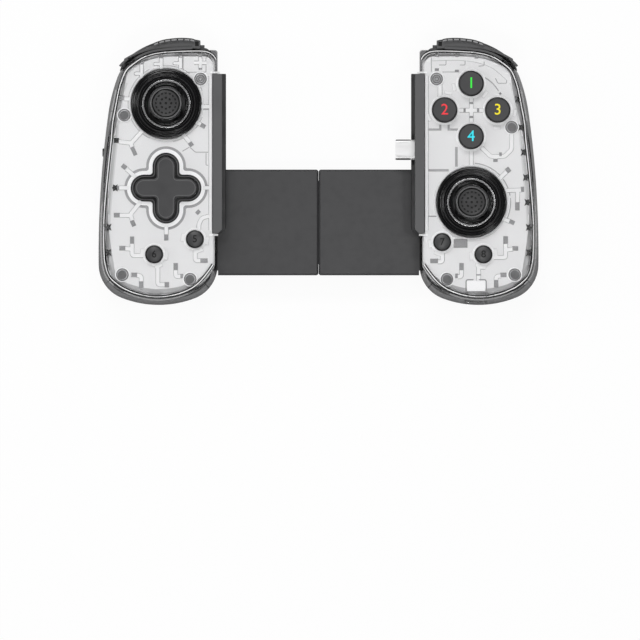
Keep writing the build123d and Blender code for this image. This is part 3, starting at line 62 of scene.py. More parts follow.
# A thumb cap's disc: height of the waist below it, radius, height of its middle, and its dish
CAP_WAIST = 33.4
CAP_DISC = 5.35
CAP_MIDDLE = 34.1
CAP_DISH = 0.8
CAP_DISH_RADIUS = 5.7
# The direction pad: half of an arm's width, and its length from the middle
DPAD_ARM = 3.8
DPAD_LENGTH = 12.9

# Edges sharper than these angles stay sharp on the solids and on the scene's own shapes
NODE_SHARP = 28
SHAPE_SHARP = 35

# Materials
PLASTIC_IOR = 1.46
COAT_ROUGHNESS = 0.06
TONE_SCALE = 60.0
NOISE_RANGE = (0.3, 0.7)
GRAIN_STRENGTH = 0.35
HAZE = 0.04
HAZE_SCALE = 45.0
# Base of clear plastic that doesn't bend the light, so that only its coat shines
UNBENT_IOR = 1.002


def new_material(name):
    mat = bpy.data.materials.new(name)
    mat.use_nodes = True
    return mat, mat.node_tree.nodes, mat.node_tree.links


def surface(name, colour, rough, metal=0.0, grain=0.012, scale=900.0, spread=0.05, coat=0.0,
            streak=0.0, specular=0.5):
    """Material with a fine grain, a slow change of tone and an uneven gloss."""
    mat, nodes, links = new_material(name)
    shader = nodes["Principled BSDF"]
    shader.inputs["Metallic"].default_value = metal
    shader.inputs["IOR"].default_value = PLASTIC_IOR
    shader.inputs["Coat Weight"].default_value = coat
    shader.inputs["Coat Roughness"].default_value = COAT_ROUGHNESS
    shader.inputs["Specular IOR Level"].default_value = specular
    place = nodes.new("ShaderNodeTexCoord")
    stretch = nodes.new("ShaderNodeMapping")
    stretch.inputs["Scale"].default_value = (1.0, 1.0 + streak, 1.0)
    links.new(place.outputs["Object"], stretch.inputs["Vector"])

    def noise(size, detail):
        node = nodes.new("ShaderNodeTexNoise")
        node.inputs["Scale"].default_value = size
        node.inputs["Detail"].default_value = detail
        links.new(stretch.outputs["Vector"], node.inputs["Vector"])
        return node.outputs["Fac"]

    tone = nodes.new("ShaderNodeValToRGB")
    for element, position, share in zip(tone.color_ramp.elements, NOISE_RANGE, (-spread, spread)):
        element.position = position
        element.color = (*(min(1.0, channel * (1 + share)) for channel in colour), 1)
    links.new(noise(TONE_SCALE, 3.0), tone.inputs["Fac"])
    links.new(tone.outputs["Color"], shader.inputs["Base Color"])
    gloss = nodes.new("ShaderNodeMapRange")
    gloss.inputs["From Min"].default_value, gloss.inputs["From Max"].default_value = NOISE_RANGE
    gloss.inputs["To Min"].default_value = rough * 0.85
    gloss.inputs["To Max"].default_value = rough * 1.15
    links.new(noise(scale / 4, 2.0), gloss.inputs["Value"])
    links.new(gloss.outputs["Result"], shader.inputs["Roughness"])
    if grain:
        bump = nodes.new("ShaderNodeBump")
        bump.inputs["Strength"].default_value = GRAIN_STRENGTH
        bump.inputs["Distance"].default_value = grain * MM
        links.new(noise(scale, 4.0), bump.inputs["Height"])
        links.new(bump.outputs["Normal"], shader.inputs["Normal"])
    return mat


def maths_node(nodes, operation, second=None, kind="ShaderNodeMath"):
    """Node that works out an operation, with its second value where that is fixed."""
    node = nodes.new(kind)
    node.operation = operation
    if second is not None:
        node.inputs[1].default_value = second
    return node


def either_ray(nodes, links, *kinds):
    """1 for rays of one of the two kinds, and 0 for all others."""
    path = nodes.new("ShaderNodeLightPath")
    either = maths_node(nodes, "ADD")
    either.use_clamp = True
    for n, kind in enumerate(kinds):
        links.new(path.outputs[kind], either.inputs[n])
    return either.outputs[0]


def mixed(nodes, links, share, first, second, target):
    """Blend of two shaders, led to the material's or the world's output."""
    mix = nodes.new("ShaderNodeMixShader")
    links.new(share, mix.inputs[0])
    links.new(first.outputs[0], mix.inputs[1])
    links.new(second.outputs[0], mix.inputs[2])
    links.new(mix.outputs[0], nodes[target].inputs["Surface"])


def see_through(name, face, edge, shade, ior, coat=1.0):
    """Clear plastic: tinted more where it is seen edge-on, with a sharp gloss on top."""
    mat, nodes, links = new_material(name)
    shader = nodes["Principled BSDF"]
    shader.inputs["Transmission Weight"].default_value = 1.0
    shader.inputs["IOR"].default_value = UNBENT_IOR
    shader.inputs["Roughness"].default_value = 0.0
    shader.inputs["Coat Weight"].default_value = coat
    shader.inputs["Coat IOR"].default_value = ior
    place = nodes.new("ShaderNodeTexCoord")
    noise = nodes.new("ShaderNodeTexNoise")
    noise.inputs["Scale"].default_value = HAZE_SCALE
    links.new(place.outputs["Object"], noise.inputs["Vector"])
    haze = nodes.new("ShaderNodeMapRange")
    haze.inputs["To Min"].default_value = HAZE * 0.7
    haze.inputs["To Max"].default_value = HAZE * 1.3
    links.new(noise.outputs["Fac"], haze.inputs["Value"])
    links.new(haze.outputs["Result"], shader.inputs["Coat Roughness"])
    slant = nodes.new("ShaderNodeLayerWeight")
    slant.inputs["Blend"].default_value = 0.35
    uneven = maths_node(nodes, "MULTIPLY_ADD", 0.02)
    links.new(noise.outputs["Fac"], uneven.inputs[0])
    links.new(slant.outputs["Facing"], uneven.inputs[2])
    tone = nodes.new("ShaderNodeValToRGB")
    for element, position, colour in zip(tone.color_ramp.elements, (0.25, 0.8), (face, edge)):
        element.position = position
        element.color = (*colour, 1)
    links.new(uneven.outputs[0], tone.inputs["Fac"])
    links.new(tone.outputs["Color"], shader.inputs["Base Color"])
    pane = nodes.new("ShaderNodeBsdfTransparent")
    pane.inputs["Color"].default_value = (*shade, 1)
    soft_rays = either_ray(nodes, links, "Is Shadow Ray", "Is Diffuse Ray")
    mixed(nodes, links, soft_rays, shader, pane, "Material Output")
    return mat


def turned_finish(mat, rings=26, depth=0.04):
    """Fine rings round the middle of a turned part, which spread its highlights into fans."""
    nodes, links = mat.node_tree.nodes, mat.node_tree.links
    value = nodes.new("ShaderNodeTexCoord").outputs["Generated"]
    for operation, second, kind, result in (
        ("SUBTRACT", (0.5, 0.5, 0.0), "ShaderNodeVectorMath", "Vector"),
        ("MULTIPLY", (1.0, 1.0, 0.0), "ShaderNodeVectorMath", "Vector"),
        ("LENGTH", None, "ShaderNodeVectorMath", "Value"),
        ("MULTIPLY", math.tau * 2 * rings, "ShaderNodeMath", "Value"),
        ("SINE", None, "ShaderNodeMath", "Value"),
    ):
        node = maths_node(nodes, operation, second, kind)
        links.new(value, node.inputs[0])
        value = node.outputs[result]
    bump = nodes.new("ShaderNodeBump")
    bump.inputs["Strength"].default_value = 1.0
    bump.inputs["Distance"].default_value = depth * MM
    links.new(value, bump.inputs["Height"])
    links.new(bump.outputs["Normal"], nodes["Principled BSDF"].inputs["Normal"])


SMOKE = see_through("smoky_plastic", face=(0.20, 0.20, 0.205), edge=(0.035, 0.035, 0.036),
                    shade=(0.7, 0.7, 0.7), ior=1.46, coat=0.45)
CLEAR = see_through("clear_plastic", face=(0.995, 0.996, 1.0), edge=(0.82, 0.83, 0.84),
                    shade=(1.0, 1.0, 1.0), ior=1.4)
WHITE = surface("white_plastic", (0.71, 0.71, 0.715), 0.45, grain=0.004, spread=0.015)
# Lighter copy of the white plastic: painted highlight on the raised tops of the panel, the post
# collars, the tabs and the port's step
WHITE_LIT = surface("white_relief_lit", (0.89, 0.89, 0.895), 0.4, grain=0.003, spread=0.01)
# Tracks a little lighter than the panel: painted highlight on their raised tops
WHITE_TRACK_LIT = surface("white_track_lit", (0.79, 0.79, 0.795), 0.42, grain=0.003, spread=0.01)
# Darker copy of the white plastic: painted shade on the panel's sloping edge
WHITE_SLOPE_SHADE = surface("white_slope_shade", (0.52, 0.52, 0.525), 0.45, grain=0.004, spread=0.04)
PANEL_SHADES = [
    surface(f"panel_shade_{n}", (tone, tone, tone + 0.004), 0.5, grain=0.004, spread=0.03)
    for n, tone in enumerate((0.40, 0.44, 0.58))
]
# Grey copy of the white plastic: painted shade on the steep walls of the relief and the tracks
RELIEF_SIDE_SHADE = surface("relief_side_shade", (0.34, 0.34, 0.345), 0.5, grain=0.004, spread=0.03)
MARK_GREY = surface("relief_grey", (0.21, 0.21, 0.215), 0.5, grain=0.01, spread=0.08)
# Grey copy of the white plastic: painted shade in the moats and along the panel's grooves and fine
# lines
GROOVE_SHADE = surface("groove_shade", (0.30, 0.30, 0.305), 0.5, grain=0.01, spread=0.05)
RAIL_GREY = surface("rail_plastic", (0.084, 0.084, 0.087), 0.42, grain=0.02)
RUBBER = surface("black_rubber", (0.012, 0.012, 0.013), 0.6, grain=0.03, scale=600.0)
BRIDGE = surface("bridge_plastic", (0.039, 0.039, 0.041), 0.48, grain=0.03, scale=1400.0)
BOWL = surface("bowl_gloss", (0.006, 0.006, 0.0065), 0.14, grain=0.0)
turned_finish(BOWL)
CAP = surface("cap_rubber", (0.026, 0.026, 0.027), 0.5, grain=0.02, scale=1500.0)
# Grey of the direction pad's bezel, also used as painted highlight round the thumb caps and on the
# direction pad's top
CAP_GREY_AND_HIGHLIGHT = surface("cap_grey_and_highlight", (0.11, 0.11, 0.112), 0.4, grain=0.002)
DOME = surface("dome_gloss", (0.006, 0.006, 0.007), 0.16, grain=0.0, coat=0.3)
BUTTON = surface("button_plastic", (0.038, 0.038, 0.04), 0.4, grain=0.01, scale=1200.0)
RIDGE = surface("bumper_ridge", (0.26, 0.26, 0.265), 0.4, grain=0.01)
BUMPER = surface("bumper_plastic", (0.07, 0.07, 0.072), 0.42, grain=0.004)
# Dark plastic of the triggers, also used for the posts' rings and as painted shade in their holes
TRIGGER_AND_SHADE = surface("trigger_plastic_and_shade", (0.06, 0.06, 0.062), 0.5, grain=0.05, scale=700.0)
RING = surface("ring_steel", (0.36, 0.36, 0.365), 0.26, metal=1.0, grain=0.002, streak=8.0)
STEEL = surface("steel", (0.52, 0.52, 0.53), 0.3, metal=1.0, grain=0.006)
PLUG = surface("plug_nickel", (0.86, 0.86, 0.865), 0.35, metal=0.15, grain=0.0, spread=0.01,
               streak=5.0)
GEAR = surface("gear_plastic", (0.72, 0.71, 0.68), 0.4, grain=0.01)
BOARD = surface("board_lacquer", (0.012, 0.05, 0.028), 0.3, grain=0.02, spread=0.2)
SILICONE = surface("silicone", (0.32, 0.32, 0.33), 0.5, grain=0.01)
MODULE = surface("module_black", (0.02, 0.02, 0.021), 0.35, grain=0.015)
POST = surface("post_grey", (0.27, 0.27, 0.275), 0.35, grain=0.01, spread=0.12)
# Black of the clips, switch, dots and print, also used as painted shade on the buttons' sides and
# edges and in the rim's gaps
BLACK_AND_SHADE = surface("black_and_shade", (0.006, 0.006, 0.006), 0.4, grain=0.005, specular=0.2)
GLINT = surface("edge_glint", (0.90, 0.90, 0.905), 0.25, grain=0.003, spread=0.02)
SHEEN = surface("rim_sheen", (0.30, 0.30, 0.305), 0.3, grain=0.003, spread=0.05)

# Finish of each kind of node
FINISHES = {
    "rear_shell": SMOKE, "inner_panel": WHITE, "front_cover": CLEAR, "rail": RAIL_GREY,
    "rail_pad": RUBBER, "bridge_cover": BRIDGE, "rack": GEAR, "return_spring": STEEL,
    "circuit_board": BOARD, "membrane": SILICONE, "stick_bowl": BOWL, "stick_ring": RING,
    "stick_module": MODULE, "stick_yoke": MODULE, "stick_rocker": GEAR, "stick_shaft": MODULE,
    "stick_cap": CAP, "bumper": BUMPER, "trigger": TRIGGER_AND_SHADE, "trigger_pin": STEEL,
    "shell_screws": STEEL, "button": BUTTON, "dpad_cap": BUTTON, "dpad_pivot": MODULE,
    "slide_switch": BLACK_AND_SHADE, "usb_plug": PLUG, "charge_port": PLUG, "centre_slider": BRIDGE,
    "slider_plate": BRIDGE, "pinion": GEAR,
}


def paint(node, material, chosen):
    """Second material on the faces of a node that a test picks: another finish on the thumb caps,
    painted light and shade on the panels and buttons.
    """
    node.data.materials.append(material)
    slot = len(node.data.materials) - 1
    for face in node.data.polygons:
        if chosen(face):
            face.material_index = slot


def off_disc(face, side):
    """Is the face outside the dished top of a side's thumb cap?"""
    x, y, z = face.center / MM
    away = math.hypot(x - STICKS[side][0] * SIDES[side], y - STICKS[side][1])
    return z <= CAP_WAIST or away >= CAP_DISC


def in_moat(face):
    return face.normal.z > 0.9 and abs(face.center.z / MM - (PANEL - MOAT_DEPTH)) < 0.05


def is_relief(face):
    return face.center.z / MM > PANEL + 0.2


def is_relief_wall(face):
    return abs(face.normal.z) < 0.3 and face.center.z / MM > PANEL


def is_slope(face):
    return 0.3 < face.normal.z < 0.97 and face.center.z / MM < PANEL


for name, node in NODES.items():
    side, _, rest = name.partition("_")
    kind = rest if side in SIDES else name
    node.data.materials.clear()
    node.data.materials.append(FINISHES["button" if "button" in kind else kind])
    for polygon in node.data.polygons:
        polygon.use_smooth = True
    node.data.set_sharp_from_angle(angle=math.radians(NODE_SHARP))
    if kind == "stick_cap":
        paint(node, DOME, lambda face, side=side: off_disc(face, side))
    elif kind == "inner_panel":
        # Painted highlight on the panel's raised tops, and painted shade on its raised walls, moats
        # and slopes
        paint(node, WHITE_LIT, is_relief)
        paint(node, RELIEF_SIDE_SHADE, is_relief_wall)
        paint(node, GROOVE_SHADE, in_moat)
        paint(node, WHITE_SLOPE_SHADE, is_slope)
    elif "button" in kind:
        # Painted shade on the steep sides of the buttons
        paint(node, BLACK_AND_SHADE, lambda face: face.normal.z < 0.8)




# Shapes
STEP = 0.0008
MITRE_LIMIT = 0.4
SEARCH_HEIGHT = 60.0


class Shape:
    """Mesh under construction, for the right grip or mirrored for the left."""

    def __init__(self):
        self.points = []
        self.faces = []
        self.rows = 0

    def step(self):
        """Tiny rise that keeps the tops of crossing bars apart."""
        self.rows += 1
        return STEP * self.rows

    def loft(self, rings, caps=(False, False)):
        """Skin over closed rings of equally many points."""
        start, count = len(self.points), len(rings[0])
        for ring in rings:
            self.points += ring
        for row in range(len(rings) - 1):
            for n in range(count):
                a, b = start + row * count + n, start + row * count + (n + 1) % count
                self.faces.append((a, b, b + count, a + count))
        if caps[0]:
            self.faces.append(tuple(start + n for n in reversed(range(count))))
        if caps[1]:
            last = start + (len(rings) - 1) * count
            self.faces.append(tuple(last + n for n in range(count)))

    def turned(self, centre, base, profile, count=40):
        """Round form: a profile of radius and height above a base, turned about a vertical axis."""
        self.loft([
            [(x, y, base + height) for x, y in circle(centre, radius, count)]
            for radius, height in profile
        ])

    def ribbon(self, line, width, low, high, slope=0.22):
        """Flat raised bar along a line, with sloping sides and mitred corners."""
        half = width / 2
        high += self.step()
        rings = []
        for n, (x, y) in enumerate(line):
            before = Vector(line[max(n - 1, 0)])
            here = Vector((x, y))
            after = Vector(line[min(n + 1, len(line) - 1)])
            into = (here - before).normalized() if n else (after - here).normalized()
            out = (after - here).normalized() if n < len(line) - 1 else into
            across = Vector((-into.y - out.y, into.x + out.x)).normalized()
            grow = 1 / max(MITRE_LIMIT, across.dot(Vector((-into.y, into.x))))
            ring = []
            for offset, height in (
                (half + slope, low), (half, high), (-half, high), (-half - slope, low),
            ):
                spot = here + across * offset * grow
                ring.append((spot.x, spot.y, height))
            rings.append(ring)
        self.loft(rings, caps=(True, True))

    def tile(self, x, y, length, width, turn, low, high, slope=0.1):
        """Small rectangular pad with sloping sides."""
        c, s = math.cos(math.radians(turn)), math.sin(math.radians(turn))
        high += self.step()
        rings = []
        for height, grow in ((low, slope), (high, 0.0)):
            ring = []
            for i, j in ((1, 1), (-1, 1), (-1, -1), (1, -1)):
                u, v = i * (length / 2 + grow), j * (width / 2 + grow)
                ring.append((x + u * c - v * s, y + u * s + v * c, height))
            rings.append(ring)
        self.loft(rings, caps=(True, True))

    def band(self, inner, outer, low, high, slope=0.1):
        """Raised wall between two closed outlines of equally many points."""
        high += self.step()
        foot_out = [(x, y, low) for x, y in outer]
        top_out = [(x, y, high) for x, y in shrunk(outer, slope)]
        top_in = [(x, y, high) for x, y in shrunk(inner, -slope)]
        foot_in = [(x, y, low) for x, y in inner]
        self.loft([foot_out, top_out, top_in, foot_in])

    def drape(self, line, width, trees, side, thick=0.25, over=0.05, level=False):
        """Thin strip laid along a line on whatever surface lies under it."""
        rings = []
        for left, right in zip(beside(line, width / 2), beside(line, -width / 2)):
            high = [height_at(trees, x * SIDES[side], y) + over for x, y in (left, right)]
            if level:
                high = [max(high)] * 2
            rings.append([(*left, high[0] - thick), (*left, high[0]),
                          (*right, high[1]), (*right, high[1] - thick)])
        self.loft(rings, caps=(True, True))

    def make(self, name, side, body, slot, material, flank=None):
        """Object of the mesh that rides on a body, with painted shade from a second material on its
        steep faces where one is given.
        """
        sign = SIDES[side]
        mesh = bpy.data.meshes.new(name)
        points = [(x * sign * MM, y * MM, z * MM) for x, y, z in self.points]
        faces = self.faces if sign > 0 else [tuple(reversed(face)) for face in self.faces]
        mesh.from_pydata(points, [], faces)
        mesh.update()
        mesh.materials.append(material)
        if flank:
            mesh.materials.append(flank)
        for polygon in mesh.polygons:
            polygon.use_smooth = True
            if flank and abs(polygon.normal.z) < 0.9:
                polygon.material_index = 1
        mesh.set_sharp_from_angle(angle=math.radians(SHAPE_SHARP))
        place_piece(name, mesh, body)


def place_piece(name, mesh, body):
    """Object of a mesh, riding on a body."""
    obj = bpy.data.objects.new(name, mesh)
    bpy.context.scene.collection.objects.link(obj)
    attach(obj, body)


def trees_of(*names):
    """Search trees of the meshes of some nodes."""
    return [
        BVHTree.FromPolygons([v.co for v in NODES[name].data.vertices],
                             [face.vertices for face in NODES[name].data.polygons])
        for name in names
    ]


def height_at(trees, x, y):
    """Height of the topmost surface at a place, x measured across the whole controller."""
    start = Vector((x, y, SEARCH_HEIGHT)) * MM
    hits = [tree.ray_cast(start, Vector((0, 0, -1)))[0] for tree in trees]
    return max([hit.z / MM for hit in hits if hit], default=PANEL)


def finely(line, gap=0.7):
    """The line with extra points, drawn as a smooth curve through the given ones."""
    result = []
    for n in range(len(line) - 1):
        a, b, c, d = (Vector(line[min(max(n + k, 0), len(line) - 1)]) for k in (-1, 0, 1, 2))
        count = max(1, round((c - b).length / gap))
        for k in range(count):
            t = k / count
            spot = 0.5 * (2 * b + (c - a) * t + (2 * a - 5 * b + 4 * c - d) * t ** 2
                          + (3 * b - a - 3 * c + d) * t ** 3)
            result.append((spot.x, spot.y))
    return result + [line[-1]]


def soft(line, radius=1.4):
    """The line with its corners rounded."""
    result = [line[0]]
    for before, here, after in zip(line, line[1:], line[2:]):
        here = Vector(here)
        start = here + (Vector(before) - here).normalized() * radius
        end = here + (Vector(after) - here).normalized() * radius
        for n in range(5):
            t = n / 4
            spot = start * (1 - t) ** 2 + here * 2 * t * (1 - t) + end * t ** 2
            result.append((spot.x, spot.y))
    return result + [line[-1]]


def sideways(before, here, after, amount):
    """A point of a line shifted to the line's left by an amount."""
    along = Vector((after[0] - before[0], after[1] - before[1])).normalized()
    return (here[0] - along.y * amount, here[1] + along.x * amount)


def beside(line, amount):
    """The open line shifted to its left by an amount."""
    last = len(line) - 1
    return [
        sideways(line[max(n - 1, 0)], spot, line[min(n + 1, last)], amount)
        for n, spot in enumerate(line)
    ]


def shrunk(outline, amount):
    """The closed outline drawn in by an amount."""
    return [
        sideways(outline[n - 1], spot, outline[(n + 1) % len(outline)], amount)
        for n, spot in enumerate(outline)
    ]


def around(centre, radius, angle):
    """Place at a distance and an angle from a centre."""
    a = math.radians(angle)
    return (centre[0] + radius * math.cos(a), centre[1] + radius * math.sin(a))


def arc(centre, radius, start, end, count=20):
    return [around(centre, radius, start + (end - start) * n / count) for n in range(count + 1)]


def circle(centre, radius, count=64):
    return [
        (centre[0] + radius * math.cos(math.tau * n / count),
         centre[1] + radius * math.sin(math.tau * n / count))
        for n in range(count)
    ]


def hoop(centre, radius):
    """Line once round a circle and back to its start."""
    return circle(centre, radius) + [(centre[0] + radius, centre[1])]


def cross_outline(centre, grow, inner):
    """Outline of the direction pad, grown by an amount, with soft inner corners."""
    arm = DPAD_ARM + grow
    reach = DPAD_LENGTH - DPAD_ARM
    corner = arm + inner
    quarter = [
        (reach + arm * math.cos(a), arm * math.sin(a))
        for a in (math.pi * n / 16 - math.pi / 2 for n in range(17))
    ] + [
        (corner + inner * math.cos(a), corner + inner * math.sin(a))
        for a in (-math.pi / 2 - math.pi / 2 * n / 8 for n in range(9))
    ]
    points = []
    for turn in (n * math.pi / 2 for n in range(4)):
        for x, y in quarter:
            points.append((
                centre[0] + x * math.cos(turn) - y * math.sin(turn),
                centre[1] + x * math.sin(turn) + y * math.cos(turn),
            ))
    return points


# Relief of the white panels: heights of its foot and top, and of the fine lines
RISE = 0.28
FOOT = PANEL - 0.02
TOP = PANEL + RISE
LINE_FOOT = PANEL - 0.01
LINE_TOP = PANEL + 0.03
LINE_SLOPE = 0.02
# Widths of a raised track and of a fine line
TRACK = 1.5
LINE = 0.32
# Raised tracks
TRACKS = {
    "left": [
        [(78.4, 30.1), (80.8, 30.1)],
        [(48.8, 26.9), (45.4, 26.9)],
        [(50.9, 20.6), (48.9, 19.5)],
        [(56.2, 15.4), (53.6, 12.2)],
        [(73.0, 17.0), (78.0, 11.5), (77.2, 9.8)],
        [(83.0, 12.4), (77.9, 11.8)],
        [(75.9, -2.4), (79.7, 1.0)],
        [(78.6, -6.8), (82.9, -6.8)],
        [(73.6, -12.3), (78.1, -17.8), (77.3, -20.2)],
        [(82.6, -18.2), (78.0, -18.2)],
        [(48.0, -6.8), (45.4, -6.8)],
        [(45.4, -18.5), (48.4, -19.3), (49.7, -21.8), (49.7, -24.6)],
        [(63.2, -22.6), (63.2, -26.3)],
        [(72.4, -34.9), (77.4, -34.9), (77.4, -30.0)],
        [(77.4, -32.2), (80.4, -32.0)],
        [(66.7, -38.2), (66.7, -47.0), (63.8, -47.0)],
        [(75.6, -43.0), (73.6, -43.3), (73.6, -45.8)],
        [(59.3, -40.8), (59.3, -43.6), (57.3, -43.6)],
        [(51.2, -32.1), (51.2, -37.0), (48.9, -37.0)],
    ],
    "right": [
        [(80.1, 16.4), (80.1, 9.1), (77.1, 6.2), (71.5, 6.2), (67.4, 10.2)],
        [(73.4, 6.2), (73.4, 5.2)],
        [(63.4, 8.8), (63.4, 2.2)],
        [(75.0, -3.0), (78.0, -0.1)],
        [(77.8, -7.9), (84.3, -7.7)],
        [(82.6, -7.9), (82.6, -13.0)],
        [(76.4, -19.6), (79.5, -20.8)],
        [(72.8, -35.7), (77.6, -35.7), (77.6, -29.8)],
        [(77.6, -32.6), (80.7, -32.2)],
        [(51.4, -33.3), (51.4, -37.5), (49.4, -37.5)],
        [(59.3, -40.8), (59.3, -43.7), (57.7, -43.7)],
        [(66.4, -37.9), (66.4, -45.6)],
        [(66.4, -39.7), (69.3, -39.7)],
        [(75.8, -43.3), (73.7, -43.5), (73.7, -45.2)],
        [(63.4, 30.8), (63.4, 20.2)],
        [(57.9, 25.4), (68.9, 25.4)],
        [(50.4, 36.1), (50.4, 31.0)],
    ],
}
# Pads: place, length, width and turn
PADS = {
    "left": [
        (81.6, 30.6, 1.9, 1.6, 0), (48.0, 19.0, 2.0, 1.6, 30), (53.0, 11.3, 1.7, 1.7, 55),
        (76.7, 8.5, 3.7, 1.5, 66), (80.7, 2.0, 1.9, 1.7, 40),
        (83.5, -6.8, 1.5, 1.7, 0), (83.7, -18.1, 2.4, 1.7, 0), (50.0, -16.9, 1.7, 1.4, -45),
        (77.0, -21.5, 2.4, 1.6, 66), (63.2, -27.3, 1.6, 2.4, 0), (77.4, -28.5, 1.6, 2.9, 0),
        (81.4, -31.8, 2.4, 1.7, 0), (63.0, -47.0, 1.8, 2.0, 0), (76.5, -42.9, 2.4, 1.7, 0),
        (73.6, -46.8, 1.7, 2.5, 0), (59.3, -39.5, 1.7, 2.9, 0), (56.8, -43.4, 1.1, 1.6, 0),
        (47.6, -37.0, 2.9, 1.7, 0), (49.1, 42.7, 1.2, 0.6, 0), (73.4, 45.1, 1.5, 1.3, 0),
        (65.3, 47.5, 1.5, 1.1, 0), (57.3, 47.7, 1.5, 1.1, 0), (49.1, 47.9, 1.3, 0.8, 0),
    ],
    "right": [
        (75.5, 7.1, 1.0, 1.5, 0), (73.4, 4.7, 1.7, 1.2, 0), (78.6, 0.6, 1.7, 2.0, 38),
        (84.6, -7.4, 1.2, 2.0, 0), (82.5, -14.4, 1.7, 3.3, 0), (80.2, -21.0, 2.1, 1.6, -25),
        (77.6, -28.5, 1.8, 3.1, 0), (81.6, -31.9, 2.3, 1.7, 0), (48.0, -37.1, 3.2, 1.7, 0),
        (59.3, -39.5, 1.7, 2.9, 0), (57.3, -43.3, 1.0, 1.7, 0), (76.7, -42.9, 2.4, 1.7, 0),
        (73.7, -46.5, 1.7, 3.0, 0), (66.4, -42.9, 1.8, 0.5, 0), (63.4, 28.4, 1.5, 0.9, 0),
        (60.6, 25.4, 0.9, 1.5, 0), (66.2, 25.4, 0.9, 1.5, 0), (63.4, 22.6, 1.5, 0.9, 0),
        (49.1, 42.3, 1.5, 0.9, 0), (57.4, 41.8, 1.5, 0.7, 0), (49.1, 48.0, 1.3, 0.8, 0),
        (57.4, 48.0, 1.3, 0.8, 0), (65.5, 47.4, 1.3, 0.8, 0), (75.4, 32.4, 0.7, 0.7, 30),
        (58.9, -29.8, 5.6, 3.5, 0),
    ],
}
# Fine grooves, and wide grooves with their widths, drawn as flat strips of painted shade
LINES = {
    "left": [
        [(56.2, 48.0), (56.2, 41.2), (46.7, 41.2), (46.7, 47.4)],
        [(56.5, 8.4), (53.6, 10.1)],
        [(53.2, 9.9), (51.1, 8.0), (45.8, 8.0)],
        [(46.7, 7.6), (46.7, 2.6), (45.9, 2.6)],
        [(48.7, 25.7), (45.5, 25.7)],
    ],
    "right": [
        [(46.8, 48.2), (46.8, 41.4)],
        [(51.4, 41.3), (58.4, 41.3)],
        [(52.9, 46.0), (52.9, 44.2), (50.0, 44.2)],
        [(60.8, 46.0), (60.8, 44.2), (58.6, 44.2)],
        [(68.7, 45.6), (68.7, 43.9), (66.4, 43.7)],
        [(73.4, 38.7), (74.4, 36.6), (78.0, 36.6), (78.0, 38.0)],
    ],
}
GROOVES = {
    "left": [],
    "right": [
        ([(45.5, 17.4), (50.5, 17.4), (50.5, 19.4)], 0.9),
        ([(58.0, 17.4), (54.0, 17.4), (54.0, 19.4)], 0.9),
        ([(57.2, 10.2), (57.2, 2.0)], 1.1),
        ([(45.5, 0.5), (54.0, 0.5)], 1.0),
        ([(45.5, -18.6), (49.2, -18.6)], 0.5),
    ],
}
# Ribs along the top of the left panel, with the height of their side arm
RIBS = [(73.4, 38.6, 44.6, 40.6), (65.3, 42.6, 47.0, 44.6), (57.3, 42.8, 47.2, 44.9)]
RIB_WIDTH = 1.3
RIB_ARM = 2.4
RIB_ARM_WIDTH = 1.2
RIB_SLOPE = 0.3
RIB_KNOB = [(0.9, FOOT - PANEL), (0.6, RISE), (0.0, RISE)]
# Bars of the plain cross above the left stick
CROSS_BARS = [[(46.5, 45.1), (51.7, 45.1)], [(49.1, 43.0), (49.1, 48.4)]]
# Radii of the collar round a stick's bowl, and the fine arcs round it: radius, width and angles
BOWL_COLLAR = (14.95, 15.6)
BOWL_ARCS = {
    "left": (15.9, 0.2, ((-64, 64), (80, 128), (140, 160), (-160, -140), (-122, -100))),
    "right": (16.3, 0.4, ((10, 36), (44, 85), (-28, 6))),
}
# Arc beside the face buttons, and the long thin curve above them
FACE_ARC = arc((62.4, 26.6), 14.0, 62, 29)
FACE_ARC_WIDTH = 0.45
TOP_CURVE = finely([(47.2, 45.9), (58.0, 46.1), (65.5, 45.2), (72.0, 42.9), (78.1, 37.9)])
TOP_CURVE_WIDTH = 0.14
# Lugs round the menu and face buttons: distance, length, width, and their angles
MENU_LUG = (5.0, 1.5, 3.2)
MENU_LUG_TURNS = (8, 188, 250)
FACE_LUG = (7.3, 1.1, 3.0)
FACE_LUG_TURNS = {"top": (192, 322), "left": (78, 205), "right": (268, 350)}
FACE_LUG_DROP = 0.1
# Raised edge of a panel along the rail, and the fine line beside it
RAIL_EDGE = [(44.85, -24.6), (44.85, 39.8)]
RAIL_EDGE_WIDTH = 1.1
RAIL_EDGE_SLOPE = 0.06
RAIL_LINE = [(45.6, -24.4), (45.6, 39.6)]
RAIL_LINE_WIDTH = 0.12
# Thin wall round the direction pad: how far its sides lie outside the pad, and its heights
BEZEL_GROW = (0.85, 1.25)
BEZEL_CORNERS = (1.5, 1.25)
BEZEL_HEIGHTS = (PANEL - 1.0, PANEL + 0.2)


def build_bezel():
    bezel = Shape()
    inner, outer = (
        cross_outline(DPAD, grow, corner) for grow, corner in zip(BEZEL_GROW, BEZEL_CORNERS)
    )
    bezel.band(inner, outer, *BEZEL_HEIGHTS, slope=0.02)
    bezel.make("left_dpad_bezel", "left", "left_grip", "white_panel", CAP_GREY_AND_HIGHLIGHT)


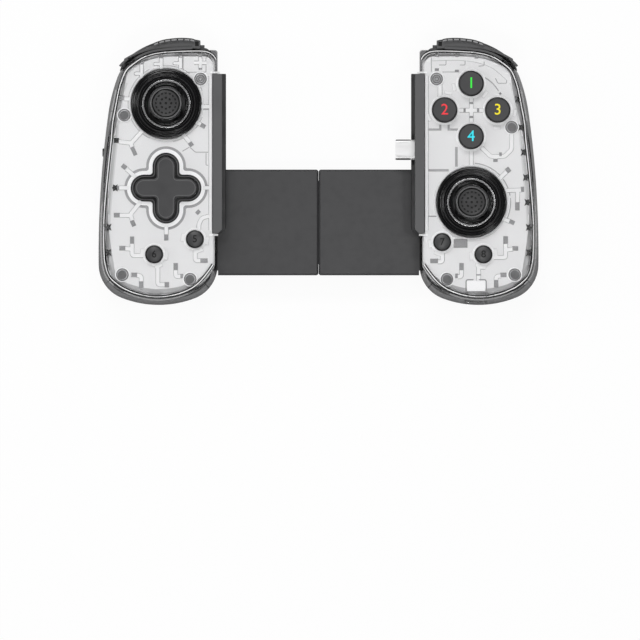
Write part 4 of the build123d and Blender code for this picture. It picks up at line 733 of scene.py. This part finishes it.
def build_tracks(side):
    """Raised white tracks, lugs, collar, ribs and edge of a panel."""
    tracks = Shape()
    for line in TRACKS[side]:
        tracks.ribbon(soft(line, 1.0), TRACK, FOOT, TOP)
    distance, length, width = MENU_LUG
    for place in MENUS[side]:
        for turn in MENU_LUG_TURNS:
            tracks.tile(*around(place, distance, turn), length, width, turn, FOOT, TOP)
    inner, outer = (circle(STICKS[side], radius) for radius in BOWL_COLLAR)
    tracks.band(inner, outer, FOOT, TOP)
    if side == "left":
        for x, bottom, top, arm in RIBS:
            tracks.ribbon([(x, bottom), (x, top)], RIB_WIDTH, FOOT, TOP, RIB_SLOPE)
            tracks.ribbon([(x, arm), (x + RIB_ARM, arm)], RIB_ARM_WIDTH, FOOT, TOP, RIB_SLOPE)
            tracks.turned((x + RIB_ARM, arm), PANEL, RIB_KNOB, 20)
        for bar in CROSS_BARS:
            tracks.ribbon(bar, RIB_ARM_WIDTH, FOOT, TOP, RIB_SLOPE)
    tracks.ribbon(RAIL_EDGE, RAIL_EDGE_WIDTH, FOOT, TOP, RAIL_EDGE_SLOPE)
    if side == "right":
        distance, length, width = FACE_LUG
        for key, turns in FACE_LUG_TURNS.items():
            for turn in turns:
                spot = around(FACES[key], distance, turn)
                tracks.tile(*spot, length, width, turn, FOOT, TOP - FACE_LUG_DROP)
    # Painted highlight on the tracks' tops, and painted shade on their steep sides
    tracks.make(f"{side}_panel_tracks", side, f"{side}_grip", "white_panel", WHITE_TRACK_LIT,
                RELIEF_SIDE_SHADE)


def build_pads(side):
    """Grey pads, which stand a little above the tracks that they end."""
    pads = Shape()
    for x, y, length, width, turn in PADS[side]:
        pads.tile(x, y, length, width, turn, FOOT, TOP + 0.02)
    pads.make(f"{side}_panel_pads", side, f"{side}_grip", "white_panel", MARK_GREY)


def build_lines(side):
    """Fine dark lines and grooves of a panel, drawn as flat strips of painted shade."""
    drawn = [(soft(line, 0.5), LINE) for line in LINES[side]]
    if side == "right":
        drawn.append((TOP_CURVE, TOP_CURVE_WIDTH))
    drawn += GROOVES[side]
    radius, width, spans = BOWL_ARCS[side]
    drawn += [(arc(STICKS[side], radius, start, end), width) for start, end in spans]
    if side == "right":
        drawn.append((FACE_ARC, FACE_ARC_WIDTH))
    drawn.append((RAIL_LINE, RAIL_LINE_WIDTH))
    lines = Shape()
    for line, width in drawn:
        lines.ribbon(line, width, LINE_FOOT, LINE_TOP, LINE_SLOPE)
    lines.make(f"{side}_panel_lines", side, f"{side}_grip", "white_panel", GROOVE_SHADE)


# Screw posts under the clear cover: profiles of radius and height above the panel's face
POST_FACE = [(2.35, 0.42), (2.35, 0.7), (2.2, 0.8), (1.25, 0.8), (1.15, 0.7), (0.95, 0.7),
             (0.85, 0.82), (0.0, 0.82)]
POST_RINGS = [
    [(1.75, 0.81), (1.75, 0.83), (1.4, 0.83), (1.4, 0.81)],
    [(0.85, 0.82), (0.85, 0.84), (0.6, 0.84), (0.6, 0.82)],
    [(2.5, 0.42), (2.5, 0.84), (2.25, 0.84), (2.25, 0.42)],
]
POST_COLLAR = [(3.0, 0.26), (2.95, 0.34), (2.62, 0.34), (2.6, 0.26)]
# Painted shade in the screw holes of the posts beyond these places: a dark disc a little off the
# middle, with a small bar on it
HOLE_SHADE_LIMITS = (80, -40)
HOLE_SHADE = [(1.75, 0.83), (1.75, 0.85), (0.0, 0.85)]
HOLE_SHADE_SHIFT = (0.25, -0.25)
HOLLOW_BAR = (0.5, 1.4, 25, PANEL + 0.84, PANEL + 0.87)
HOLLOW_BAR_RISE = 0.6


def build_posts(side):
    """Grey screw posts with dark rings on them and painted shade in some of their holes, and a white
    collar with a painted highlight round each.
    """
    faces, rings, collars, hole_shades = Shape(), Shape(), Shape(), Shape()
    for x, y in POSTS[side]:
        faces.turned((x, y), PANEL, POST_FACE)
        for ring in POST_RINGS:
            rings.turned((x, y), PANEL, ring)
        collars.turned((x, y), PANEL, POST_COLLAR)
        if x > HOLE_SHADE_LIMITS[0] or y < HOLE_SHADE_LIMITS[1]:
            hole_x, hole_y = x + HOLE_SHADE_SHIFT[0], y + HOLE_SHADE_SHIFT[1]
            hole_shades.turned((hole_x, hole_y), PANEL, HOLE_SHADE)
            hole_shades.tile(hole_x, hole_y + HOLLOW_BAR_RISE, *HOLLOW_BAR)
    grip = f"{side}_grip"
    faces.make(f"{side}_post_faces", side, grip, "smoky_shell", POST)
    rings.make(f"{side}_post_rings", side, grip, "smoky_shell", TRIGGER_AND_SHADE)
    # Painted shade in the posts' holes
    hole_shades.make(f"{side}_post_hole_shades", side, grip, "smoky_shell", TRIGGER_AND_SHADE)
    # Painted highlight: the collars are lighter than the panel
    collars.make(f"{side}_post_collars", side, grip, "white_panel", WHITE_LIT)


# Black snap hooks between the panel and the rim, and black pads on the panel's outer edge
CLIPS = {
    "left": [(84.6, -6.8), (87.2, -23.1), (87.3, -33.6)],
    "right": [(82.8, 29.9), (84.1, 18.3), (85.2, 8.0), (86.1, -2.5), (86.7, -12.8),
              (87.3, -23.2), (87.4, -33.7)],
}
HOOK = [(-0.8, 0.0), (-1.3, -1.5), (-0.4, -0.95), (0.7, -1.4), (0.7, -0.5),
        (1.2, 0.0), (0.7, 0.5), (0.7, 1.4), (-0.4, 0.95), (-1.3, 1.5)]
CLIP_FOOT = PANEL - 1.4
CLIP_TOP = PANEL + 0.36
BLACK_PADS = {"left": [(83.9, 12.9, 2.0, 1.9), (84.1, -6.8, 0.9, 1.7)], "right": []}


def build_clips(side):
    clips = Shape()
    for x, y in CLIPS[side]:
        clips.loft([[(x + u, y + v, z) for u, v in HOOK] for z in (CLIP_FOOT, CLIP_TOP)],
                   caps=(True, True))
    for x, y, length, width in BLACK_PADS[side]:
        clips.tile(x, y, length, width, 0, PANEL, CLIP_TOP)
    clips.make(f"{side}_clips", side, f"{side}_grip", "smoky_shell", BLACK_AND_SHADE)


# Thumb cap: rows of dark dots as count and radius, a dot's profile against the dish, and the groove
# and the painted highlight round the disc as radius and width
DOT_ROWS = ((1, 0.0), (8, 2.3), (16, 4.3))
DOT = [(0.55, -0.05), (0.53, 0.05), (0.0, 0.03)]
CAP_GROOVE = (5.62, 0.46)
CAP_HIGHLIGHT = (6.2, 0.55)
# Fine lines in a stick's bowl: radii and width
BOWL_LINES = (10.8, 11.95, 13.1)
BOWL_LINE_WIDTH = 0.18


def build_stick(side):
    """Fine lines in a stick's bowl, and the dots, the groove and the painted highlight of its thumb
    cap.
    """
    centre = STICKS[side]
    lines, groove, dots, ring = Shape(), Shape(), Shape(), Shape()
    bowl = trees_of(f"{side}_stick_bowl")
    for radius in BOWL_LINES:
        lines.drape(hoop(centre, radius), BOWL_LINE_WIDTH, bowl, side, thick=0.2, over=0.06)
    cap = trees_of(f"{side}_stick_cap")
    for shape, (radius, width) in ((groove, CAP_GROOVE), (ring, CAP_HIGHLIGHT)):
        shape.drape(hoop(centre, radius), width, cap, side, thick=0.3, over=0.13)
    for count, radius in DOT_ROWS:
        height = CAP_MIDDLE + CAP_DISH * (radius / CAP_DISH_RADIUS) ** 2
        for n in range(count):
            dots.turned(around(centre, radius, 360 * n / count + 90), height, DOT, 16)
    lines.make(f"{side}_bowl_lines", side, f"{side}_grip", "black_gloss", BUTTON)
    groove.make(f"{side}_stick_groove", side, f"{side}_stick", "black_cap", BLACK_AND_SHADE)
    dots.make(f"{side}_stick_dots", side, f"{side}_stick", "black_cap", BLACK_AND_SHADE)
    ring.make(f"{side}_stick_highlight", side, f"{side}_stick", "black_cap", CAP_GREY_AND_HIGHLIGHT)


# Line of light that the clear cover's edge makes inside the smoky rim, from the upper inner corner
# round the outer side to the lower inner corner
EDGE = finely([
    (42.6, 46.5), (43.7, 48.2), (46.1, 49.6), (49.7, 50.0), (56.2, 49.9), (63.3, 49.5),
    (68.8, 48.7), (73.3, 47.0), (76.7, 44.7), (79.5, 42.3), (81.1, 39.3), (82.6, 34.9),
    (83.7, 29.6), (85.4, 20.3), (86.0, 13.1), (87.0, 4.0), (87.9, -5.0), (88.6, -12.5),
    (89.0, -18.5), (89.2, -26.0), (89.1, -32.9), (88.7, -37.9), (87.0, -43.3), (83.0, -47.2),
    (78.1, -49.8), (73.1, -51.3), (68.2, -52.0), (63.2, -51.8), (58.2, -50.8), (53.3, -48.8),
    (49.3, -45.8), (46.0, -41.9), (43.7, -38.6),
])
EDGE_WIDTH = 0.36
# Strips beside that line: shift, outwards where it is positive, and width
# Dark strips of painted shade in the gaps on either side of that line
GAP_SHADE_STRIPS = ((-0.5, 0.45), (0.45, 0.34))
SHEEN_STRIP = (1.25, 0.6)
SHADE_SHIFTS = (-1.3, -1.9, -2.5)
SHADE_WIDTH = 0.6
# Seams across the rim at the lower corners
SEAMS = ([(45.4, -48.4), (47.3, -46.3)], [(86.2, -44.8), (88.4, -46.4)])
SEAM_WIDTH = 0.3


def build_edges(side):
    """Strips of painted light, sheen and shade along the rim, and its dark seams."""
    grip = f"{side}_grip"
    shell = trees_of(f"{side}_rear_shell")
    panel = trees_of(f"{side}_inner_panel")
    outermost = trees_of(f"{side}_rear_shell", f"{side}_front_cover", f"{side}_bumper")
    sheen, light, dark = Shape(), Shape(), Shape()
    rim = [(x, y) for x, y in EDGE if y < 34 and (x > 79 or y < -44)]
    shift, width = SHEEN_STRIP
    sheen.drape(beside(rim, shift), width, shell, side, thick=0.2, over=0.04)
    sheen.make(f"{side}_rim_sheen", side, grip, "smoky_shell", SHEEN)
    outer_side = [(x, y) for x, y in EDGE if x > 79 and -42 < y < 38]
    for n, (shift, shade) in enumerate(zip(SHADE_SHIFTS, PANEL_SHADES)):
        strip = Shape()
        strip.drape(beside(outer_side, shift), SHADE_WIDTH, panel, side, thick=0.05, over=0.02)
        strip.make(f"{side}_panel_shade_{n}", side, grip, "white_panel", shade)
    light.drape(EDGE, EDGE_WIDTH, outermost, side, thick=1.0, over=0.08, level=True)
    # Painted shade in the gaps beside the line of light
    for shift, width in GAP_SHADE_STRIPS:
        dark.drape(beside(EDGE, shift), width, outermost, side)
    for seam in SEAMS:
        dark.drape(finely(seam), SEAM_WIDTH, outermost, side)
    light.make(f"{side}_edge_light", side, grip, "smoky_shell", GLINT)
    dark.make(f"{side}_edge_shade_and_seams", side, grip, "smoky_shell", BLACK_AND_SHADE)


# Bumper: its lip between the line of light and the solid, which widens by LIP_REACH to its outer
# end, and the strip that seals the rim below it, each where that line lies beyond a place
LIP_FROM = (58, 41.5)
LIP_SHIFTS = (2.8, 1.0)
LIP_REACH = 0.9
LIP_FOOT = 21.9
LIP_TOPS = (22.2, 22.3)
SEAL_FROM = (52, 43.5)
SEAL_STRIP = (1.2, 0.9)
# Dark steps at its ends: line, width and foot
END_STEPS = (
    ([(50.5, 54.0), (50.5, 52.1)], 1.5, 22.2),
    ([(78.5, 47.3), (78.4, 46.6)], 1.3, 22.25),
)
END_STEP_TOP = 22.46
# Light ridge along its crest, with a dark line below it and dark gaps in it
CREST = finely([(68.2, 52.7), (65.1, 53.8), (62.0, 54.4), (57.3, 54.8), (53.2, 54.6), (51.6, 54.2)],
               0.5)
RIDGE_WIDTH = 0.6
CREST_LINE = (-0.55, 0.28)
RIDGE_GAP_WIDTH = 0.62
RIDGE_GAPS = range(4, len(CREST) - 2, 5)


def build_bumper_lip(side):
    """Lower lip of the bumper at its outer shoulder, and the seal between it and the rim."""
    line = [(x, y) for x, y in EDGE if x > LIP_FROM[0] and y > LIP_FROM[1]]
    rings = []
    for n, (inner, far) in enumerate(zip(*(beside(line, shift) for shift in LIP_SHIFTS))):
        reach = LIP_REACH * (n / (len(line) - 1)) ** 0.5
        out = Vector(inner) + (Vector(inner) - Vector(far)).normalized() * reach
        rings.append([(*inner, LIP_FOOT), (*inner, LIP_TOPS[0]),
                      (out.x, out.y, LIP_TOPS[1]), (out.x, out.y, LIP_FOOT)])
    lip, seal = Shape(), Shape()
    lip.loft(rings, caps=(True, True))
    upper = [(x, y) for x, y in EDGE if x > SEAL_FROM[0] and y > SEAL_FROM[1]]
    shift, width = SEAL_STRIP
    seal.drape(beside(upper, shift), width, trees_of(f"{side}_rear_shell"), side,
               thick=0.2, over=0.06, level=True)
    seal.make(f"{side}_rim_seal", side, f"{side}_grip", "smoky_shell", BUMPER)
    lip.make(f"{side}_bumper_lip", side, f"{side}_bumper", "button_grey", BUMPER)


def build_bumper_trim(side):
    """Dark steps at the bumper's ends, and the ridge along its crest."""
    steps, ridge = Shape(), Shape()
    trees = trees_of(f"{side}_bumper")
    for line, width, foot in END_STEPS:
        steps.ribbon(line, width, foot, END_STEP_TOP, 0.02)
    ridge.drape(CREST, RIDGE_WIDTH, trees, side, thick=0.1, level=True)
    shift, width = CREST_LINE
    steps.drape(beside(CREST, shift), width, trees, side, thick=0.1, level=True)
    for n in RIDGE_GAPS:
        steps.drape(CREST[n:n + 2], RIDGE_GAP_WIDTH, trees, side, thick=0.1, over=0.09, level=True)
    steps.make(f"{side}_bumper_steps", side, f"{side}_bumper", "button_grey", BLACK_AND_SHADE)
    ridge.make(f"{side}_bumper_ridge", side, f"{side}_bumper", "button_grey", RIDGE)


# White ends of the inner panel below and above the rail: line and width
TABS = (([(45.3, -26.3), (41.7, -26.3)], 0.8), ([(45.0, 41.1), (41.0, 41.1)], 0.7))
TAB_HEIGHTS = (PANEL - 0.8, PANEL + 0.3)


def build_tabs(side):
    tabs = Shape()
    for line, width in TABS:
        tabs.ribbon(line, width, *TAB_HEIGHTS, slope=0.05)
    # Painted highlight: the tabs are lighter than the panel
    tabs.make(f"{side}_panel_tabs", side, f"{side}_grip", "white_panel", WHITE_LIT)


# Frame that the white panel makes round the charging port
POCKET_LEFT = 61.2
POCKET_RIGHT = 69.6
POCKET_MIDDLE = (POCKET_LEFT + POCKET_RIGHT) / 2
POCKET_TOP = -44.9
POCKET_BAR = -49.9
POCKET_LOW = -52.0
POCKET_GAP = 1.1
POCKET_CORNER = 0.9
POCKET_FOOT = PANEL - 1.0
POCKET_WIDTH = 7.6


def build_pocket():
    frame_lines, step = Shape(), Shape()
    for x, sign in ((POCKET_LEFT, -1), (POCKET_RIGHT, 1)):
        path = [(POCKET_MIDDLE + sign * POCKET_GAP, POCKET_TOP), (x, POCKET_TOP), (x, POCKET_LOW)]
        frame_lines.ribbon(soft(path, POCKET_CORNER), 0.4, POCKET_FOOT, PANEL + 0.3, 0.02)
    bar = [(POCKET_LEFT, POCKET_BAR), (POCKET_RIGHT, POCKET_BAR)]
    frame_lines.ribbon(bar, 0.35, POCKET_FOOT, PANEL + 0.28, 0.02)
    floor_line = [(POCKET_MIDDLE, POCKET_TOP - 0.4), (POCKET_MIDDLE, POCKET_BAR + 0.3)]
    step.ribbon(floor_line, POCKET_WIDTH, POCKET_FOOT + 0.2, PANEL + 0.2, 0.05)
    frame_lines.make("port_pocket_lines", "right", "right_grip", "white_panel", MARK_GREY)
    # Painted highlight: the port's step is lighter than the panel
    step.make("port_pocket", "right", "right_grip", "white_panel", WHITE_LIT)


# Dark rounded flanks of the phone plug's shell: ends of the shell, its middle line, and each
# flank's shift from it and width
PLUG_ENDS = (32.2, 38.2)
PLUG_MIDDLE = 9.1
PLUG_FLANKS = ((3.95, 0.4), (-3.95, 0.7))


def build_plug_flanks():
    flanks = Shape()
    trees = trees_of("usb_plug")
    start, end = PLUG_ENDS
    for shift, width in PLUG_FLANKS:
        line = [(start + (end - start) * n / 10, PLUG_MIDDLE + shift) for n in range(11)]
        flanks.drape(line, width, trees, "right", thick=0.2, over=0.03, level=True)
    flanks.make("plug_flanks", "right", "right_grip", "plug_metal", BLACK_AND_SHADE)


# Painted shade on the round edge of a button's top: radius and width
FACE_RIM_SHADE = (4.86, 0.48)
MENU_RIM_SHADE = (3.32, 0.3)
# Painted highlight round the direction pad's top: how far it lies inside the pad, inner corners and
# width
DPAD_HIGHLIGHT_GROW = -0.75
DPAD_HIGHLIGHT_CORNER = 1.9
DPAD_HIGHLIGHT_WIDTH = 0.2


def build_rim(name, place, size, node, side, body):
    """Ring of painted shade laid on the edge of a round button."""
    radius, width = size
    rim = Shape()
    rim.drape(hoop(place, radius), width, trees_of(node), side, thick=0.1)
    rim.make(name, side, body, "button_grey", BLACK_AND_SHADE)


def build_button_rims():
    for key, place in FACES.items():
        build_rim(f"button_rim_{key}", place, FACE_RIM_SHADE, f"face_button_{key}", "right",
                  f"button_{key}")
    for side in SIDES:
        for place, key in zip(MENUS[side], MENU_KEYS):
            build_rim(f"{side}_menu_rim_{key}", place, MENU_RIM_SHADE, f"{side}_menu_button_{key}", side,
                      f"{side}_menu_{key}")
    bevel = Shape()
    outline = cross_outline(DPAD, DPAD_HIGHLIGHT_GROW, DPAD_HIGHLIGHT_CORNER)
    bevel.drape(outline + outline[:1], DPAD_HIGHLIGHT_WIDTH, trees_of("dpad_cap"), "left", thick=0.1)
    bevel.make("dpad_bevel_highlight", "left", "dpad", "button_grey", CAP_GREY_AND_HIGHLIGHT)


# Plain numerals on the buttons: size of the type and height of the button's top
FACE_TYPE = (6.4, 27.81)
MENU_TYPE = (4.2, 26.86)
TYPE_BOLD = 0.004
TYPE_RELIEF = 0.03
MENU_NUMERALS = {"left": "56", "right": "78"}


def build_numeral(name, text, spot, type_size, body, material):
    """Plain numeral lying on a button's top, its place measured across the whole controller."""
    size, height = type_size
    curve = bpy.data.curves.new(name, "FONT")
    curve.body = text
    curve.align_x = "CENTER"
    curve.align_y = "CENTER"
    curve.size = size * MM
    curve.offset = TYPE_BOLD * size * MM
    curve.extrude = TYPE_RELIEF * MM
    curve.resolution_u = 6
    maker = bpy.data.objects.new(name + "_curve", curve)
    bpy.context.scene.collection.objects.link(maker)
    bpy.context.view_layer.update()
    solid = maker.evaluated_get(bpy.context.evaluated_depsgraph_get())
    mesh = bpy.data.meshes.new_from_object(solid)
    bpy.data.objects.remove(maker)
    bpy.data.curves.remove(curve)
    for vertex in mesh.vertices:
        vertex.co += Vector((*spot, height)) * MM
    mesh.materials.clear()
    mesh.materials.append(material)
    place_piece(name, mesh, body)


FACE_NUMERALS = {
    "top": ("1", "green", (0.03, 0.92, 0.05)),
    "left": ("2", "red", (0.93, 0.03, 0.045)),
    "right": ("3", "yellow", (1.0, 0.84, 0.01)),
    "bottom": ("4", "cyan", (0.03, 0.84, 0.98)),
}

for side, sign in SIDES.items():
    if side == "left":
        build_bezel()
    build_tracks(side)
    build_pads(side)
    build_lines(side)
    build_posts(side)
    build_clips(side)
    build_stick(side)
    build_edges(side)
    build_bumper_lip(side)
    build_bumper_trim(side)
    build_tabs(side)
    for n, (x, y) in enumerate(MENUS[side]):
        build_numeral(f"{side}_menu_mark_{n}", MENU_NUMERALS[side][n], (x * sign, y), MENU_TYPE,
                      f"{side}_menu_{MENU_KEYS[n]}", BLACK_AND_SHADE)
build_pocket()
build_plug_flanks()
build_button_rims()
for key, (text, tint, colour) in FACE_NUMERALS.items():
    ink = surface(f"ink_{tint}", colour, 0.35, grain=0.003, spread=0.03)
    build_numeral(f"button_mark_{key}", text, FACES[key], FACE_TYPE, f"button_{key}", ink)


# Stage, light and camera, in metres and watts
FLOOR_SIZE = 4.0
FLOOR_DEPTH = 0.0002
FLOOR_PALE = 0.93
# Share of plain white in the floor that the camera sees
FLOOR_GLOW = 0.93
WORLD_LIGHT = 0.2
WHITE_LIGHT = 1.0
# Lamps, all turned to the controller: place, size and power
LAMPS = {
    "top_light": ((-0.1, 0.75, 0.95), (0.7, 0.25), 5.5),
    "left_light": ((-0.95, 0.05, 0.6), (0.2, 0.7), 2.2),
    "front_light": ((0.15, -0.9, 0.8), (0.4, 0.2), 0.8),
    "front_card": ((0.0, -0.36, 1.05), (0.32, 0.16), 2.6),
    "right_card": ((0.36, 0.0, 1.05), (0.16, 0.16), 1.4),
    "back_card": ((-0.16, 0.33, 1.05), (0.12, 0.16), 0.8),
}
# The photo: its size and the row of the controller's middle in pixels, and millimetres per pixel
PHOTO_SIZE = 640
PHOTO_ROW = 171.5
PHOTO_SCALE = 0.415
# A long lens, because the photo hardly shows any perspective; sensor and lens in millimetres
SENSOR = 36
LENS = 500
# Sideways place of the camera
CAMERA_SHIFT = 0.0006


def build_floor():
    """Pale floor, shown nearly white to the camera with the controller's shadow left on it."""
    mat, nodes, links = new_material("floor")
    shader = nodes["Principled BSDF"]
    shader.inputs["Base Color"].default_value = (FLOOR_PALE, FLOOR_PALE, FLOOR_PALE, 1)
    shader.inputs["Roughness"].default_value = 0.9
    glow = nodes.new("ShaderNodeEmission")
    glow.inputs["Strength"].default_value = WHITE_LIGHT
    share = maths_node(nodes, "MULTIPLY", FLOOR_GLOW)
    seen = either_ray(nodes, links, "Is Camera Ray", "Is Transmission Ray")
    links.new(seen, share.inputs[0])
    mixed(nodes, links, share.outputs[0], shader, glow, "Material Output")
    bpy.ops.mesh.primitive_plane_add(size=FLOOR_SIZE, location=(0, 0, -FLOOR_DEPTH))
    floor = bpy.context.object
    floor.name = "floor"
    floor.data.materials.append(mat)


def build_world():
    """Soft even light, and plain white where the camera looks past the floor."""
    world = bpy.data.worlds.new("studio")
    bpy.context.scene.world = world
    world.use_nodes = True
    nodes, links = world.node_tree.nodes, world.node_tree.links
    back, bright = nodes["Background"], nodes.new("ShaderNodeBackground")
    for background, strength in ((back, WORLD_LIGHT), (bright, WHITE_LIGHT)):
        background.inputs["Color"].default_value = (1, 1, 1, 1)
        background.inputs["Strength"].default_value = strength
    seen = either_ray(nodes, links, "Is Camera Ray", "Is Transmission Ray")
    mixed(nodes, links, seen, back, bright, "World Output")


def build_lamp(name, place, size, power):
    lamp = bpy.data.lights.new(name, "AREA")
    lamp.shape = "RECTANGLE"
    lamp.size, lamp.size_y = size
    lamp.energy = power
    obj = bpy.data.objects.new(name, lamp)
    bpy.context.scene.collection.objects.link(obj)
    obj.location = place
    obj.rotation_euler = (-Vector(place)).to_track_quat("-Z", "Y").to_euler()


def build_camera():
    """Camera straight above, with the photo's frame at the height of the panels."""
    cam = bpy.data.cameras.new("camera")
    cam.lens = LENS
    cam.sensor_width = SENSOR
    cam.clip_end = 10
    distance = PHOTO_SIZE * PHOTO_SCALE * MM * LENS / SENSOR
    row_shift = (PHOTO_ROW - PHOTO_SIZE / 2) * PHOTO_SCALE * MM
    obj = bpy.data.objects.new("camera", cam)
    bpy.context.scene.collection.objects.link(obj)
    obj.location = (CAMERA_SHIFT, row_shift, distance + PANEL * MM)
    bpy.context.scene.camera = obj


build_floor()
build_world()
for name, (place, size, power) in LAMPS.items():
    build_lamp(name, place, size, power)
build_camera()
bpy.context.scene.view_settings.view_transform = "Standard"
